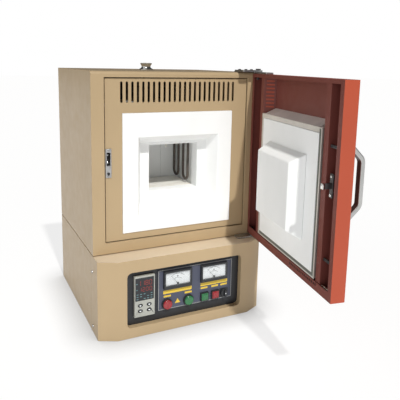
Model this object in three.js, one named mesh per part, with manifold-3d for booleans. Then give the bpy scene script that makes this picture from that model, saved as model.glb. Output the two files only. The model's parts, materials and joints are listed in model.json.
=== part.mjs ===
// Front-loading electric kiln: a small high-temperature chamber in a sheet-metal cabinet,
// standing on a control base, with a side-hinged insulated door that stands open at rest.
// Millimetres. +Z is up, -Y is the front. The origin is the middle of the cabinet's footprint,
// on the surface that the kiln stands on.
import * as THREE from 'three';
import { mergeVertices } from 'three/addons/utils/BufferGeometryUtils.js';
import Module from 'manifold-3d';

const wasm = await Module();
wasm.setup();

// ---- driving dimensions -------------------------------------------------------------------
const WIDTH = 410;            // cabinet, side to side
const DEPTH = 350;            // upper cabinet, front to back
const BASE_H = 182;           // control base
const TOTAL_H = 588;          // top of the cabinet
const SHEET = 2;              // folded steel sheet
const GAP = 0.3;              // clearance between pieces that touch

const NOSE = 52;              // how far the base's face stands in front of the cabinet
const NOSE_SIDE = 33;         // the same, where its bevelled corners begin
const NOSE_BEVEL = 40;        // width of each bevelled corner
const FASCIA_BACK = 20;       // how far the fascia's side flanges run back

const STILE = 28.5;           // side members of the cabinet's front frame
const TOP_RAIL = 13.7;
const BOTTOM_RAIL = 27;
const FRAME_T = 6;            // depth of the frame's folded edge
const ROLL_R = 8;             // rolled front edge of the top

const FIBRE_W = 272;          // insulation face that shows in the front panel
const FIBRE_Z = [226, 497];
const CHAMBER_W = 132;        // between the side walls; 100 is left between the elements
const CHAMBER_Z = [299, 418.5];
const CHAMBER_Y = [68, 172];  // behind the cabinet's front plane
const HEARTH_T = 10;
const NECK_W = 123;
const MOUTH_W = [199, 168];   // tapered mouth: at the front, and at its inner step
const MOUTH_Z = [[262, 442.4], [284, 426]];
const MOUTH_DEPTH = 36;

const DOOR_OPEN = 80;         // degrees that the door stands open at rest
const DOOR_X = [-198, 203];   // closed position
const DOOR_Z = [190.5, 585];
const DOOR_T = 29.6;
const DOOR_GAP = 3;           // between the closed door and the cabinet
const PIVOT = [196, -13];     // hinge axis, from the middle and from the front plane
const RIB_X = [137.5, 154];   // the two upright ribs inside the door pan, at their front flanges
const PAN_TAPER = 13.5;       // how far ribs and tray lean inwards towards the door's skin
const PLUG_W = 271;           // steel tray that holds the door's insulation
const PLUG_Z = [210.5, 497.5];
const CATCH = [-167.5, 398];  // x and z of the door catch

const PANEL_RECESS = 15;      // control panel, behind the base's face
const WINDOW = [287, 24, 153, 10]; // control opening: width, bottom, top, corner radius

const FRONT = -DEPTH / 2;
const REAR = DEPTH / 2;
const HALF = WIDTH / 2;

// ---- materials ----------------------------------------------------------------------------
function paint(color, roughness, metalness = 0) {
  return new THREE.MeshStandardMaterial({ color, roughness, metalness });
}
const BEIGE = paint(0xcdb48c, 0.5);
const ORANGE = paint(0xc4583f, 0.5);
const FIBRE = paint(0xf6f5f0, 0.95);
const CERAMIC = paint(0xe9e4d6, 0.8);
const STEEL = paint(0xaaa59b, 0.35, 1);
const ZINC = paint(0x8f9296, 0.4, 1);
const DARK_STEEL = paint(0x3a3531, 0.6, 0.6);
const BLACK = paint(0x1e2024, 0.5);
const SLATE = paint(0x4b5069, 0.45);
const GREY = paint(0xa9aaa4, 0.5);
const RED = paint(0xc02128, 0.3);
const GREEN = paint(0x157a3c, 0.3);
const COPPER = paint(0x9a5b32, 0.5, 0.6);

// ---- geometry helpers ---------------------------------------------------------------------
// A closed box from its limits on each axis.
function block(x, y, z) {
  const geometry = new THREE.BoxGeometry(x[1] - x[0], y[1] - y[0], z[1] - z[0]);
  return geometry.translate((x[0] + x[1]) / 2, (y[0] + y[1]) / 2, (z[0] + z[1]) / 2);
}

function outline(points) {
  return new THREE.Shape(points.map(([u, v]) => new THREE.Vector2(u, v)));
}

function rectangle(u, v) {
  return [[u[0], v[0]], [u[1], v[0]], [u[1], v[1]], [u[0], v[1]]];
}

// A rectangle with round corners; steps is the number of segments in each corner.
function rounded(u, v, radius, steps = 3) {
  const corners = [
    [u[1] - radius, v[0] + radius, -90], [u[1] - radius, v[1] - radius, 0],
    [u[0] + radius, v[1] - radius, 90], [u[0] + radius, v[0] + radius, 180],
  ];
  return corners.flatMap(([cu, cv, start]) => arc(cu, cv, radius, start, start + 90, steps));
}

function arc(cu, cv, radius, from, to, steps) {
  return Array.from({ length: steps + 1 }, (_, i) => {
    const angle = THREE.MathUtils.degToRad(from + (to - from) * i / steps);
    return [cu + radius * Math.cos(angle), cv + radius * Math.sin(angle)];
  });
}

function circle(cu, cv, radius, steps = 20) {
  return arc(cu, cv, radius, 0, 360, steps).slice(0, -1);
}

// Extrudes an outline along one axis, between two values of that axis, and cuts holes through it.
// Along X the outline is in (y, z); along Y it is in (x, z); along Z it is in (x, y).
function prism(axis, points, range, holes = []) {
  const geometry = new THREE.ExtrudeGeometry(outline(points), {
    depth: range[1] - range[0], bevelEnabled: false });
  const [X, Y, Z] = [[1, 0, 0], [0, 1, 0], [0, 0, 1]].map((v) => new THREE.Vector3(...v));
  const turn = new THREE.Matrix4();
  if (axis === 'x') geometry.applyMatrix4(turn.makeBasis(Y, Z, X)).translate(range[0], 0, 0);
  else if (axis === 'y') geometry.applyMatrix4(turn.makeBasis(X, Z, Y.negate())).translate(0, range[1], 0);
  else geometry.translate(0, 0, range[0]);
  if (!holes.length) return geometry;
  return build([geometry], holes.map((hole) => prism(axis, hole, [range[0] - 1, range[1] + 1])));
}

function solid(geometry) {
  const bare = geometry.clone();
  bare.deleteAttribute('normal');
  bare.deleteAttribute('uv');
  const merged = mergeVertices(bare, 1e-4);
  return new wasm.Manifold(new wasm.Mesh({
    numProp: 3,
    vertProperties: new Float32Array(merged.attributes.position.array),
    triVerts: new Uint32Array(merged.index.array),
  }));
}

function surface(body) {
  const mesh = body.getMesh();
  const geometry = new THREE.BufferGeometry();
  geometry.setAttribute('position', new THREE.BufferAttribute(new Float32Array(mesh.vertProperties), 3));
  geometry.setIndex(new THREE.BufferAttribute(new Uint32Array(mesh.triVerts), 1));
  return geometry;
}

// Joins the first list of geometries and cuts the second list out of the result.
function build(adds, cuts = []) {
  let body = solid(adds[0]);
  for (const piece of adds.slice(1)) body = body.add(solid(piece));
  for (const piece of cuts) body = body.subtract(solid(piece));
  return surface(body);
}

// A four-sided frustum along Y between two rectangles in (x, z).
function frustum(yNear, near, yFar, far) {
  const corners = [...rectangle(...near).map(([x, z]) => [x, yNear, z]),
    ...rectangle(...far).map(([x, z]) => [x, yFar, z])];
  const geometry = new THREE.BufferGeometry();
  geometry.setAttribute('position', new THREE.Float32BufferAttribute(corners.flat(), 3));
  const faces = [[0, 1, 2], [0, 2, 3], [6, 5, 4], [7, 6, 4]];
  for (let i = 0; i < 4; i += 1) {
    const j = (i + 1) % 4;
    faces.push([i, i + 4, j + 4], [i, j + 4, j]);
  }
  geometry.setIndex(faces.flat());
  return geometry;
}

// Joins a row of rings, each with the same number of corners, and closes the two ends.
function loft(rings) {
  const sides = rings[0].length;
  const faces = [];
  for (let r = 0; r + 1 < rings.length; r += 1) {
    for (let i = 0; i < sides; i += 1) {
      const a = r * sides + i;
      const b = r * sides + (i + 1) % sides;
      faces.push(a, b, b + sides, a, b + sides, a + sides);
    }
  }
  const last = (rings.length - 1) * sides;
  for (let i = 1; i + 1 < sides; i += 1) {
    faces.push(0, i + 1, i, last, last + i, last + i + 1);
  }
  const geometry = new THREE.BufferGeometry();
  geometry.setAttribute('position', new THREE.Float32BufferAttribute(rings.flat(2), 3));
  geometry.setIndex(faces);
  return geometry;
}

// A round body about an axis through (cx, cz) parallel to Y. The profile lists [radius, y]
// from the front to the back; it starts and ends on the axis, or closes on itself.
function turnedY(cx, cz, profile, sides = 20) {
  const geometry = new THREE.LatheGeometry(profile.map(([r, y]) => new THREE.Vector2(r, y)), sides);
  return geometry.translate(cx, 0, cz);
}

// The same about an axis through (cx, cy) parallel to Z; the profile lists [radius, z] upwards.
function turnedZ(cx, cy, profile, sides = 20) {
  const geometry = new THREE.LatheGeometry(profile.map(([r, z]) => new THREE.Vector2(r, z)), sides);
  return geometry.rotateX(Math.PI / 2).translate(cx, cy, 0);
}

function span(middle, size) {
  return [middle - size / 2, middle + size / 2];
}

function grow([low, high], by) {
  return [low - by, high + by];
}

// Evenly spaced values from first to last.
function spread(first, last, count) {
  return Array.from({ length: count }, (_, i) => first + (last - first) * i / (count - 1));
}

const kiln = new THREE.Group();

function place(name, geometry, material, parent = kiln) {
  const mesh = new THREE.Mesh(geometry, material);
  mesh.name = name;
  parent.add(mesh);
  return mesh;
}

// ---- cabinet: outer sheet metal --------------------------------------------------------------
const BACK_OF_SHELLS = REAR - SHEET - GAP;
const PANEL_X = [-(HALF - STILE), HALF - STILE];
const PANEL_Z = [BASE_H + BOTTOM_RAIL, TOTAL_H - TOP_RAIL];
const PANEL_Y = [FRONT + 3.5, FRONT + 5.5];
const PANEL_EDGE = 2.2;       // dark gap round the recessed front panel
const PORT = [-28, FRONT + 150];  // exhaust port, in plan
const THERMOCOUPLE = [28, FRONT + 150];
const CABLE_HOLE = [[-35, 35], [90, 130]];
const PROBE = { r: 3, flange: 11, from: 392, to: 540 };
const PIPE = { bore: 6.5, r: 10, flange: 17, waist: 11, lip: 14.5 };
const HOLE_FIT = 0.4;         // round holes, beyond the radius of what passes through them
const TOP_SLOT = { width: 3, y: [FRONT + 30, FRONT + 130], from: 69, to: 150, count: 14 };
const JOINT_LINE = { height: 1.7, front: 4, side: 1.2 }; // shadow groove above the base

function upperCasing() {
  const z = [BASE_H + GAP, TOTAL_H];
  const groove = [z[0] - 1, z[0] + JOINT_LINE.height];
  const roll = arc(FRONT + ROLL_R, TOTAL_H - ROLL_R, ROLL_R, 90, 180, 4);
  const profile = [[FRONT, z[0]], [BACK_OF_SHELLS, z[0]], [BACK_OF_SHELLS, z[1]], ...roll];
  const cuts = [
    block([-HALF + SHEET, HALF - SHEET], [FRONT + FRAME_T, REAR], [z[0] + SHEET, z[1] - SHEET]),
    block(PANEL_X, [FRONT - 1, FRONT + FRAME_T + 1], PANEL_Z),
    block(...CABLE_HOLE, grow([z[0], z[0] + SHEET], 1)),
    prism('z', circle(...PORT, PIPE.r + 2, 16), grow([z[1] - SHEET, z[1]], 1)),
    block([-HALF - 1, HALF + 1], [FRONT - 1, FRONT + JOINT_LINE.front], groove),
    block([-HALF - 1, -HALF + JOINT_LINE.side], [FRONT - 1, REAR], groove),
    block([HALF - JOINT_LINE.side, HALF + 1], [FRONT - 1, REAR], groove),
  ];
  for (const x of spread(TOP_SLOT.from, TOP_SLOT.to, TOP_SLOT.count)) {
    for (const side of [-1, 1]) {
      cuts.push(block(span(side * x, TOP_SLOT.width), TOP_SLOT.y, grow([z[1] - SHEET, z[1]], 1)));
    }
  }
  return build([prism('x', profile, [-HALF, HALF])], cuts);
}

const SLOT = { count: 23, reach: 137.5, width: 5.6, z: [519.5, 565.5] };
const CATCH_HOUSING = { width: 10.4, height: 36 };
const PLUNGER = { r: 2.6, drop: 32 };  // the door switch, below the catch

function frontPanel() {
  const window = rectangle(grow([-FIBRE_W / 2, FIBRE_W / 2], 0.4), grow(FIBRE_Z, 0.4));
  const catchHole = rectangle(
    span(CATCH[0], CATCH_HOUSING.width + 0.6), span(CATCH[1], CATCH_HOUSING.height + 1));
  const slots = spread(-SLOT.reach, SLOT.reach, SLOT.count).map(
    (x) => rounded(span(x, SLOT.width), SLOT.z, SLOT.width / 2 - 0.01, 3));
  const edge = rectangle(grow(PANEL_X, -PANEL_EDGE), grow(PANEL_Z, -PANEL_EDGE));
  const switchHole = circle(CATCH[0], CATCH[1] - PLUNGER.drop, PLUNGER.r + 2 * HOLE_FIT, 10);
  return prism('y', edge, PANEL_Y, [window, catchHole, switchHole, ...slots]);
}

const FAN = { x: 110, z: 90, size: 80, bore: 37.5, depth: 25 };
const GLAND = [-130, 45];
const GLAND_R = { bore: 4.5, thread: 8.9, nut: 11.5, dome: 9, lip: 6.5 };
const REAR_SLOT = { rows: [[235, 275], [515, 555]], reach: 120, count: 13, width: 6 };
const REAR_PANEL = { inset: 1.5, z: [1, TOTAL_H - 2] };

function rearPanel() {
  const holes = [circle(FAN.x, FAN.z, FAN.bore, 24), circle(...GLAND, GLAND_R.thread + HOLE_FIT, 12)];
  for (const z of REAR_SLOT.rows) {
    for (const x of spread(-REAR_SLOT.reach, REAR_SLOT.reach, REAR_SLOT.count)) {
      holes.push(rectangle(span(x, REAR_SLOT.width), z));
    }
  }
  const edge = rectangle(grow([-HALF, HALF], -REAR_PANEL.inset), REAR_PANEL.z);
  return prism('y', edge, [REAR - SHEET, REAR], holes);
}

place('upper_casing', upperCasing(), BEIGE);
place('front_panel', frontPanel(), BEIGE);
place('rear_panel', rearPanel(), BEIGE);

// ---- control base: outer sheet metal -----------------------------------------------------------
const NOSE_FACE = FRONT - NOSE;

// The plan of the base's nose, drawn in by a margin.
function nosePlan(margin, back) {
  const side = HALF - margin;
  const bevel = HALF - NOSE_BEVEL - margin * 0.3;
  const shoulder = FRONT - NOSE_SIDE + margin * 0.7;
  const face = NOSE_FACE + margin;
  return [[-side, shoulder], [-bevel, face], [bevel, face], [side, shoulder], [side, back], [-side, back]];
}

function baseShell() {
  const y = [FRONT + FASCIA_BACK + GAP, BACK_OF_SHELLS];
  const cuts = [
    block([-HALF + SHEET, HALF - SHEET], grow(y, 1), [-1, BASE_H - SHEET]),
    block(...CABLE_HOLE, grow([BASE_H - SHEET, BASE_H], 1)),
  ];
  return build([block([-HALF, HALF], y, [0, BASE_H])], cuts);
}

const [WINDOW_W, WINDOW_Z0, WINDOW_Z1, WINDOW_R] = WINDOW;
const PANEL_FACE = NOSE_FACE + PANEL_RECESS;

function frontFascia() {
  const back = FRONT + FASCIA_BACK;
  const opening = (margin) => rounded(
    grow([-WINDOW_W / 2, WINDOW_W / 2], margin), grow([WINDOW_Z0, WINDOW_Z1], margin), WINDOW_R + margin);
  const shell = build([prism('z', nosePlan(0, back), [0, BASE_H])],
    [prism('z', nosePlan(SHEET, back + 1), [-1, BASE_H - SHEET])]);
  const collar = prism('y', opening(SHEET), [NOSE_FACE + 0.5, PANEL_FACE - GAP]);
  return build([shell, collar], [prism('y', opening(0), [NOSE_FACE - 1, PANEL_FACE + 1])]);
}

const FLOOR_SLOT = { rows: [-70, 60], reach: 96, count: 9, size: [6, 50] };

function bottomPlate() {
  const slots = [];
  const [width, length] = FLOOR_SLOT.size;
  for (const y of FLOOR_SLOT.rows) {
    for (const x of spread(-FLOOR_SLOT.reach, FLOOR_SLOT.reach, FLOOR_SLOT.count)) {
      slots.push(rectangle(span(x, width), span(y, length)));
    }
  }
  return prism('z', nosePlan(SHEET + GAP, BACK_OF_SHELLS), [0, SHEET], slots);
}

place('base_shell', baseShell(), BEIGE);
place('front_fascia', frontFascia(), BEIGE);
place('bottom_plate', bottomPlate(), BEIGE);

// ---- heating chamber ---------------------------------------------------------------------------
const CHAMBER_HALF = CHAMBER_W / 2;
const CHAMBER_FRONT = FRONT + CHAMBER_Y[0];
const CHAMBER_BACK = FRONT + CHAMBER_Y[1];
const FIBRE_X = [-FIBRE_W / 2, FIBRE_W / 2];
const FIBRE_BACK = FRONT + 232;
const HEARTH_TOP = CHAMBER_Z[0] + HEARTH_T;
const ELEMENT_X = 55;
const ELEMENT_LEGS = [[74.5, 102.5], [132, 160]].map((pair) => pair.map((y) => FRONT + y));
const ELEMENT = { hot: 3.2, cold: 4.5, collar: 7.5, fit: 0.7, bottom: 319, top: 545 };
const BOARD_Z = [500.4, 510.4];
const BOARD_HALF = 80;
const COLLAR_T = 6;
const CASING_FIT = 3;         // between the insulation and its steel casing
const BOARD_JOINT = { x: [-21, 21], width: 1, deep: 2 };

function innerCasing() {
  const x = grow(FIBRE_X, CASING_FIT);
  const z = grow(FIBRE_Z, CASING_FIT);
  const y = [PANEL_Y[1] + GAP, FIBRE_BACK + CASING_FIT];
  const cuts = [
    block(grow(x, -SHEET), [y[0] - 1, y[1] - SHEET], grow(z, -SHEET)),
    block([-CHAMBER_HALF, CHAMBER_HALF], grow([CHAMBER_FRONT, CHAMBER_BACK], -2), grow([z[1] - SHEET, z[1]], 1)),
  ];
  return build([block(x, y, z)], cuts);
}

function frontBlock() {
  const [mouthFront, mouthBack] = MOUTH_W.map((w, i) => [[-w / 2, w / 2], MOUTH_Z[i]]);
  const slope = 1 / MOUTH_DEPTH;
  const face = FRONT + 1;
  const ahead = mouthFront.map(([low, high], i) => [
    low + (low - mouthBack[i][0]) * slope, high + (high - mouthBack[i][1]) * slope]);
  return build([block(FIBRE_X, [face, CHAMBER_FRONT - GAP], FIBRE_Z)], [
    frustum(face - 1, ahead, face - 1 + MOUTH_DEPTH, mouthBack),
    block([-NECK_W / 2, NECK_W / 2], [face, CHAMBER_FRONT + 1], [HEARTH_TOP, CHAMBER_Z[1]]),
  ]);
}

// Holes for the elements' legs and the thermocouple, alike in the roof and in the board above it.
function chamberHoles() {
  const legs = ELEMENT_LEGS.flat().flatMap(
    (y) => [-ELEMENT_X, ELEMENT_X].map((x) => circle(x, y, ELEMENT.cold + ELEMENT.fit, 10)));
  return [circle(...THERMOCOUPLE, PROBE.r + 0.6, 8), ...legs];
}

function roofBlock() {
  const holes = [circle(...PORT, PIPE.bore + 0.5, 12), ...chamberHoles()];
  const plan = rectangle(grow([-CHAMBER_HALF, CHAMBER_HALF], -GAP), [CHAMBER_FRONT, CHAMBER_BACK]);
  return prism('z', plan, [CHAMBER_Z[1], FIBRE_Z[1]], holes);
}

// The back wall is three boards, shown by two shallow joints in its face.
function backBlock() {
  const y = [CHAMBER_BACK + GAP, FIBRE_BACK];
  const joints = BOARD_JOINT.x.map((x) => block(
    span(x, BOARD_JOINT.width), [y[0] - 1, y[0] + BOARD_JOINT.deep], grow(CHAMBER_Z, 4)));
  return build([block(FIBRE_X, y, FIBRE_Z)], joints);
}

function terminalBoard() {
  const holes = [circle(...PORT, PIPE.r + 1, 16), ...chamberHoles()];
  const plan = rectangle([-BOARD_HALF, BOARD_HALF], grow([CHAMBER_FRONT, CHAMBER_BACK], 6));
  return prism('z', plan, BOARD_Z, holes);
}

// A U-shaped rod that hangs by collars on the terminal board.
function heatingElement(x, [yFront, yBack]) {
  const bend = (yBack - yFront) / 2;
  const middle = (yFront + yBack) / 2;
  const bendZ = ELEMENT.bottom + bend;
  const ring = (radius, y, z, turn) => Array.from({ length: 8 }, (_, i) => {
    const angle = -i * Math.PI / 4;
    const across = radius * Math.sin(angle);
    return [x + radius * Math.cos(angle), y + across * Math.cos(turn), z + across * Math.sin(turn)];
  });
  const leg = (y, turn) => [
    ring(ELEMENT.cold, y, ELEMENT.top, turn),
    ring(ELEMENT.cold, y, BOARD_Z[1] + COLLAR_T, turn), ring(ELEMENT.collar, y, BOARD_Z[1] + COLLAR_T, turn),
    ring(ELEMENT.collar, y, BOARD_Z[1] + GAP, turn), ring(ELEMENT.cold, y, BOARD_Z[1] + GAP, turn),
    ring(ELEMENT.cold, y, CHAMBER_Z[1] + 6, turn), ring(ELEMENT.hot, y, CHAMBER_Z[1] + 2, turn),
  ];
  const steps = 6;
  const curve = Array.from({ length: steps + 1 }, (_, i) => {
    const angle = Math.PI * i / steps;
    return ring(ELEMENT.hot, middle - bend * Math.cos(angle), bendZ - bend * Math.sin(angle), angle);
  });
  return loft([...leg(yFront, 0), ...curve, ...leg(yBack, Math.PI).reverse()]);
}

function thermocouple() {
  const flange = BOARD_Z[1] + GAP;
  return turnedZ(...THERMOCOUPLE, [
    [0, PROBE.from], [PROBE.r, PROBE.from], [PROBE.r, flange], [PROBE.flange, flange],
    [PROBE.flange, PROBE.to], [0, PROBE.to]], 12);
}

function exhaustPort() {
  const { bore, r, flange, waist, lip } = PIPE;
  const foot = FIBRE_Z[1] + 0.5;
  return turnedZ(...PORT, [
    [bore, foot], [r, foot], [r, TOTAL_H + GAP], [flange, TOTAL_H + GAP],
    [flange, TOTAL_H + 3], [waist + 1, TOTAL_H + 5.5], [waist, TOTAL_H + 9], [lip, TOTAL_H + 16],
    [lip - 1.5, TOTAL_H + 17], [bore + 3, TOTAL_H + 12], [bore, TOTAL_H + 8], [bore, foot]], 20);
}

const STOPPER = { r: PIPE.bore - 0.4, head: 8.5, from: TOTAL_H - 16, to: TOTAL_H + 18 };

function exhaustPlug() {
  const { r, head, from, to } = STOPPER;
  return turnedZ(...PORT, [
    [0, from], [r, from], [r, TOTAL_H + 9], [head, TOTAL_H + 13], [head, to], [0, to]], 16);
}

const sideBlock = (x) => block(x, [CHAMBER_FRONT, CHAMBER_BACK], FIBRE_Z);
const chamberX = [-CHAMBER_HALF + GAP, CHAMBER_HALF - GAP];
place('inner_casing', innerCasing(), STEEL);
place('front_insulation', frontBlock(), FIBRE);
place('left_insulation', sideBlock([FIBRE_X[0], -CHAMBER_HALF]), FIBRE);
place('right_insulation', sideBlock([CHAMBER_HALF, FIBRE_X[1]]), FIBRE);
place('roof_insulation', roofBlock(), FIBRE);
place('floor_insulation',
  block(chamberX, [CHAMBER_FRONT, CHAMBER_BACK], [FIBRE_Z[0], CHAMBER_Z[0] - GAP]), FIBRE);
place('back_insulation', backBlock(), FIBRE);
place('hearth_plate',
  block(grow(chamberX, -3), grow([CHAMBER_FRONT, CHAMBER_BACK], -2), [CHAMBER_Z[0], HEARTH_TOP]), CERAMIC);
place('terminal_board', terminalBoard(), CERAMIC);
[-ELEMENT_X, ELEMENT_X].forEach((x, side) => {
  ELEMENT_LEGS.forEach((legs, row) => {
    place(`heating_element_${side * 2 + row + 1}`, heatingElement(x, legs), DARK_STEEL);
  });
});
place('thermocouple', thermocouple(), CERAMIC);
place('exhaust_port', exhaustPort(), STEEL);
place('exhaust_plug', exhaustPlug(), CERAMIC);

// ---- control panel -----------------------------------------------------------------------------
const PLATE_FACE = PANEL_FACE - SHEET;
const PANEL_EDGES = [[-150, 150], [18, 160]];
const PLATE_EDGES = [[-67, 125.5], [44.5, 142.5]];
const CUTOUT_FIT = 0.8;       // panel cut-outs, beyond the width of what stands in them
const CONTROLLER = { x: span(-101, 48), z: span(91, 96), depth: 8, behind: 55, display: [81, 135] };
const KEYS = [[-111.5, 70], [-90.5, 70], [-111.5, 57], [-90.5, 57]];
const KEY_SIZE = [9, 6.4];
const METER = { x: [-19.5, 74.5], z: 117.5, size: [70, 42], dial: [62, 31], body: [48, 28], depth: 7.7 };
const NEEDLE = { length: 25, z: METER.z - 10.5, rest: 42 };
const ROUND = { x: [-45, 9], z: 59, head: 11, stem: 8 };
const SQUARE = { x: [51, 79.5], z: 59, head: 17, stem: 12 };
const KNOB = [104, 59];
const KNOB_SHAFT = 4;

function oval([x, z], [w, h], margin = 0) {
  return circle(0, 0, 1, 12).map(([u, v]) => [x + u * (w / 2 + margin), z + v * (h / 2 + margin)]);
}

// Holes for the meters, the buttons and the knob, cut alike in both plates.
function panelHoles() {
  return [
    ...METER.x.map((x) => rectangle(
      span(x, METER.body[0] + CUTOUT_FIT), span(METER.z, METER.body[1] + CUTOUT_FIT))),
    ...ROUND.x.map((x) => circle(x, ROUND.z, ROUND.stem + HOLE_FIT, 16)),
    ...SQUARE.x.map((x) => rectangle(
      span(x, SQUARE.stem + CUTOUT_FIT), span(SQUARE.z, SQUARE.stem + CUTOUT_FIT))),
    circle(...KNOB, KNOB_SHAFT + HOLE_FIT, 12),
  ];
}

function controllerCase() {
  const face = PANEL_FACE - GAP - CONTROLLER.depth;
  const bezel = block(CONTROLLER.x, [face, PANEL_FACE - GAP], CONTROLLER.z);
  const body = block(grow(CONTROLLER.x, -1.8), [PANEL_FACE - GAP - 1, PANEL_FACE + CONTROLLER.behind],
    grow(CONTROLLER.z, -2.5));
  const display = block(grow(CONTROLLER.x, -2), [face - 1, face + 1.2], CONTROLLER.display);
  const keyHoles = KEYS.map((key) => prism('y', oval(key, KEY_SIZE, 0.4), [face - 1, face + 7]));
  return build([bezel, body], [display, ...keyHoles]);
}

function meterCase(x) {
  const face = PLATE_FACE - GAP - METER.depth;
  const front = block(span(x, METER.size[0]), [face, PLATE_FACE - GAP], span(METER.z, METER.size[1]));
  const body = block(span(x, METER.body[0]), [PLATE_FACE - GAP - 1, PANEL_FACE + 22],
    span(METER.z, METER.body[1]));
  const top = METER.z + METER.size[1] / 2 - 4;
  const dial = block(span(x, METER.dial[0]), [face - 1, face + 5], [top - METER.dial[1], top]);
  return build([front, body], [dial]);
}

// A pointer with a round hub, drawn upright and then turned back to the zero of its scale.
function meterNeedle(x) {
  const y = PLATE_FACE - METER.depth;
  const pointer = prism('y', [[-0.9, 0], [0.9, 0], [0.35, NEEDLE.length], [-0.35, NEEDLE.length]], [y + 2, y + 3]);
  const hub = prism('y', circle(0, 0, 2.6, 10), [y + 1.2, y + 3.8]);
  const needle = build([hub, pointer]);
  return needle.rotateY(THREE.MathUtils.degToRad(-NEEDLE.rest)).translate(x, 0, NEEDLE.z);
}

const BUTTON_Y = [PLATE_FACE - 9, PLATE_FACE - 3.6, PANEL_FACE + 12];

function roundButton(x) {
  const [face, back, end] = BUTTON_Y;
  const { head, stem } = ROUND;
  return turnedY(x, ROUND.z, [
    [0, face], [head - 1.5, face], [head, face + 1.5], [head, back], [stem, back], [stem, end], [0, end]], 24);
}

function squareButton(x) {
  const [face, back, end] = BUTTON_Y;
  const cap = block(span(x, SQUARE.head), [face + 1.5, back], span(SQUARE.z, SQUARE.head));
  const stem = block(span(x, SQUARE.stem), [back - 1, end], span(SQUARE.z, SQUARE.stem));
  return build([cap, stem]);
}

function selectorKnob() {
  const [x, z] = KNOB;
  const disc = turnedY(x, z, [
    [0, PLATE_FACE - 6], [9, PLATE_FACE - 6], [9.5, PLATE_FACE - 0.5], [KNOB_SHAFT, PLATE_FACE - 0.5],
    [KNOB_SHAFT, PANEL_FACE + 12], [0, PANEL_FACE + 12]], 24);
  const grip = block(span(x, 5), [PLATE_FACE - 12, PLATE_FACE - 5], span(z, 17));
  return build([disc, grip]);
}

function controlPanel() {
  const controllerHole = rectangle(grow(CONTROLLER.x, -1.4), grow(CONTROLLER.z, -2.1));
  return prism('y', rectangle(...PANEL_EDGES), [PANEL_FACE, PANEL_FACE + SHEET],
    [controllerHole, ...panelHoles()]);
}

place('control_panel', controlPanel(), BLACK);
place('instrument_plate',
  prism('y', rectangle(...PLATE_EDGES), [PLATE_FACE, PANEL_FACE - GAP], panelHoles()), SLATE);
place('controller_case', controllerCase(), GREY);
KEYS.forEach((key, i) => {
  const face = PANEL_FACE - GAP - CONTROLLER.depth;
  place(`controller_key_${i + 1}`, prism('y', oval(key, KEY_SIZE), [face - 1.3, face + 5.5]), BLACK);
});
['left', 'right'].forEach((side, i) => {
  place(`meter_${side}_case`, meterCase(METER.x[i]), BLACK);
  place(`meter_${side}_needle`, meterNeedle(METER.x[i]), BLACK);
});
place('off_button', roundButton(ROUND.x[0]), RED);
place('on_button', roundButton(ROUND.x[1]), GREEN);
place('heat_start_button', squareButton(SQUARE.x[0]), GREEN);
place('heat_stop_button', squareButton(SQUARE.x[1]), RED);
place('selector_knob', selectorKnob(), BLACK);

// ---- inside the base ---------------------------------------------------------------------------
const CORE = [[-150, -60], [-10, 50], [SHEET + GAP, 92]];
const COIL = [[-134, -76], [-28, 68], [18, 78]];
const SPIDER = { t: 3, hub: 15, arm: 5 };
const ROTOR = { hub: 14, blades: 5, chord: 16, t: 2, pitch: 50 };

function fanFrame() {
  const y = [BACK_OF_SHELLS - FAN.depth, BACK_OF_SHELLS];
  const ring = build([block(span(FAN.x, FAN.size), y, span(FAN.z, FAN.size))],
    [prism('y', circle(FAN.x, FAN.z, FAN.bore, 24), grow(y, 1))]);
  const spider = [y[0], y[0] + SPIDER.t];
  return build([ring,
    prism('y', circle(FAN.x, FAN.z, SPIDER.hub, 12), spider),
    block(span(FAN.x, FAN.size - 2), spider, span(FAN.z, SPIDER.arm)),
    block(span(FAN.x, SPIDER.arm), spider, span(FAN.z, FAN.size - 2))]);
}

function fanRotor() {
  const y = [BACK_OF_SHELLS - FAN.depth + SPIDER.t + 0.6, BACK_OF_SHELLS - 2];
  const hub = prism('y', circle(0, 0, ROTOR.hub, 16), y);
  const blades = Array.from({ length: ROTOR.blades }, (_, i) => {
    const blade = block(span(0, ROTOR.t), span(0, ROTOR.chord), [ROTOR.hub - 2, FAN.bore - 3]);
    blade.rotateZ(THREE.MathUtils.degToRad(ROTOR.pitch)).translate(0, (y[0] + y[1]) / 2, 0);
    return blade.rotateY(i * 2 * Math.PI / ROTOR.blades);
  });
  return build([hub, ...blades]).translate(FAN.x, 0, FAN.z);
}

function cableGland() {
  const { bore, thread, nut, dome, lip } = GLAND_R;
  return turnedY(...GLAND, [
    [bore, REAR - 10], [thread, REAR - 10], [thread, REAR + GAP], [nut, REAR + GAP], [nut, REAR + 6],
    [dome, REAR + 8], [dome, REAR + 13], [lip, REAR + 15], [bore, REAR + 15], [bore, REAR - 10]], 12);
}

place('transformer', build([block(...CORE), block(...COIL)]), COPPER);
place('fan_frame', fanFrame(), BLACK);
place('fan_rotor', fanRotor(), BLACK);
place('cable_gland', cableGland(), BLACK);

// ---- door catch on the cabinet -----------------------------------------------------------------
const [CATCH_X, CATCH_Z] = CATCH;
const BALL = { r: 3.5, offset: 9.2, y: FRONT + 10 };
const SWITCH_Z = CATCH_Z - PLUNGER.drop;
const CATCH_FLANGE = { width: 13, t: 1.5, z: [CATCH_Z - 41, CATCH_Z + 23] };
const CATCH_POCKET = { width: 8, height: 29.5, deep: 15 };

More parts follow.
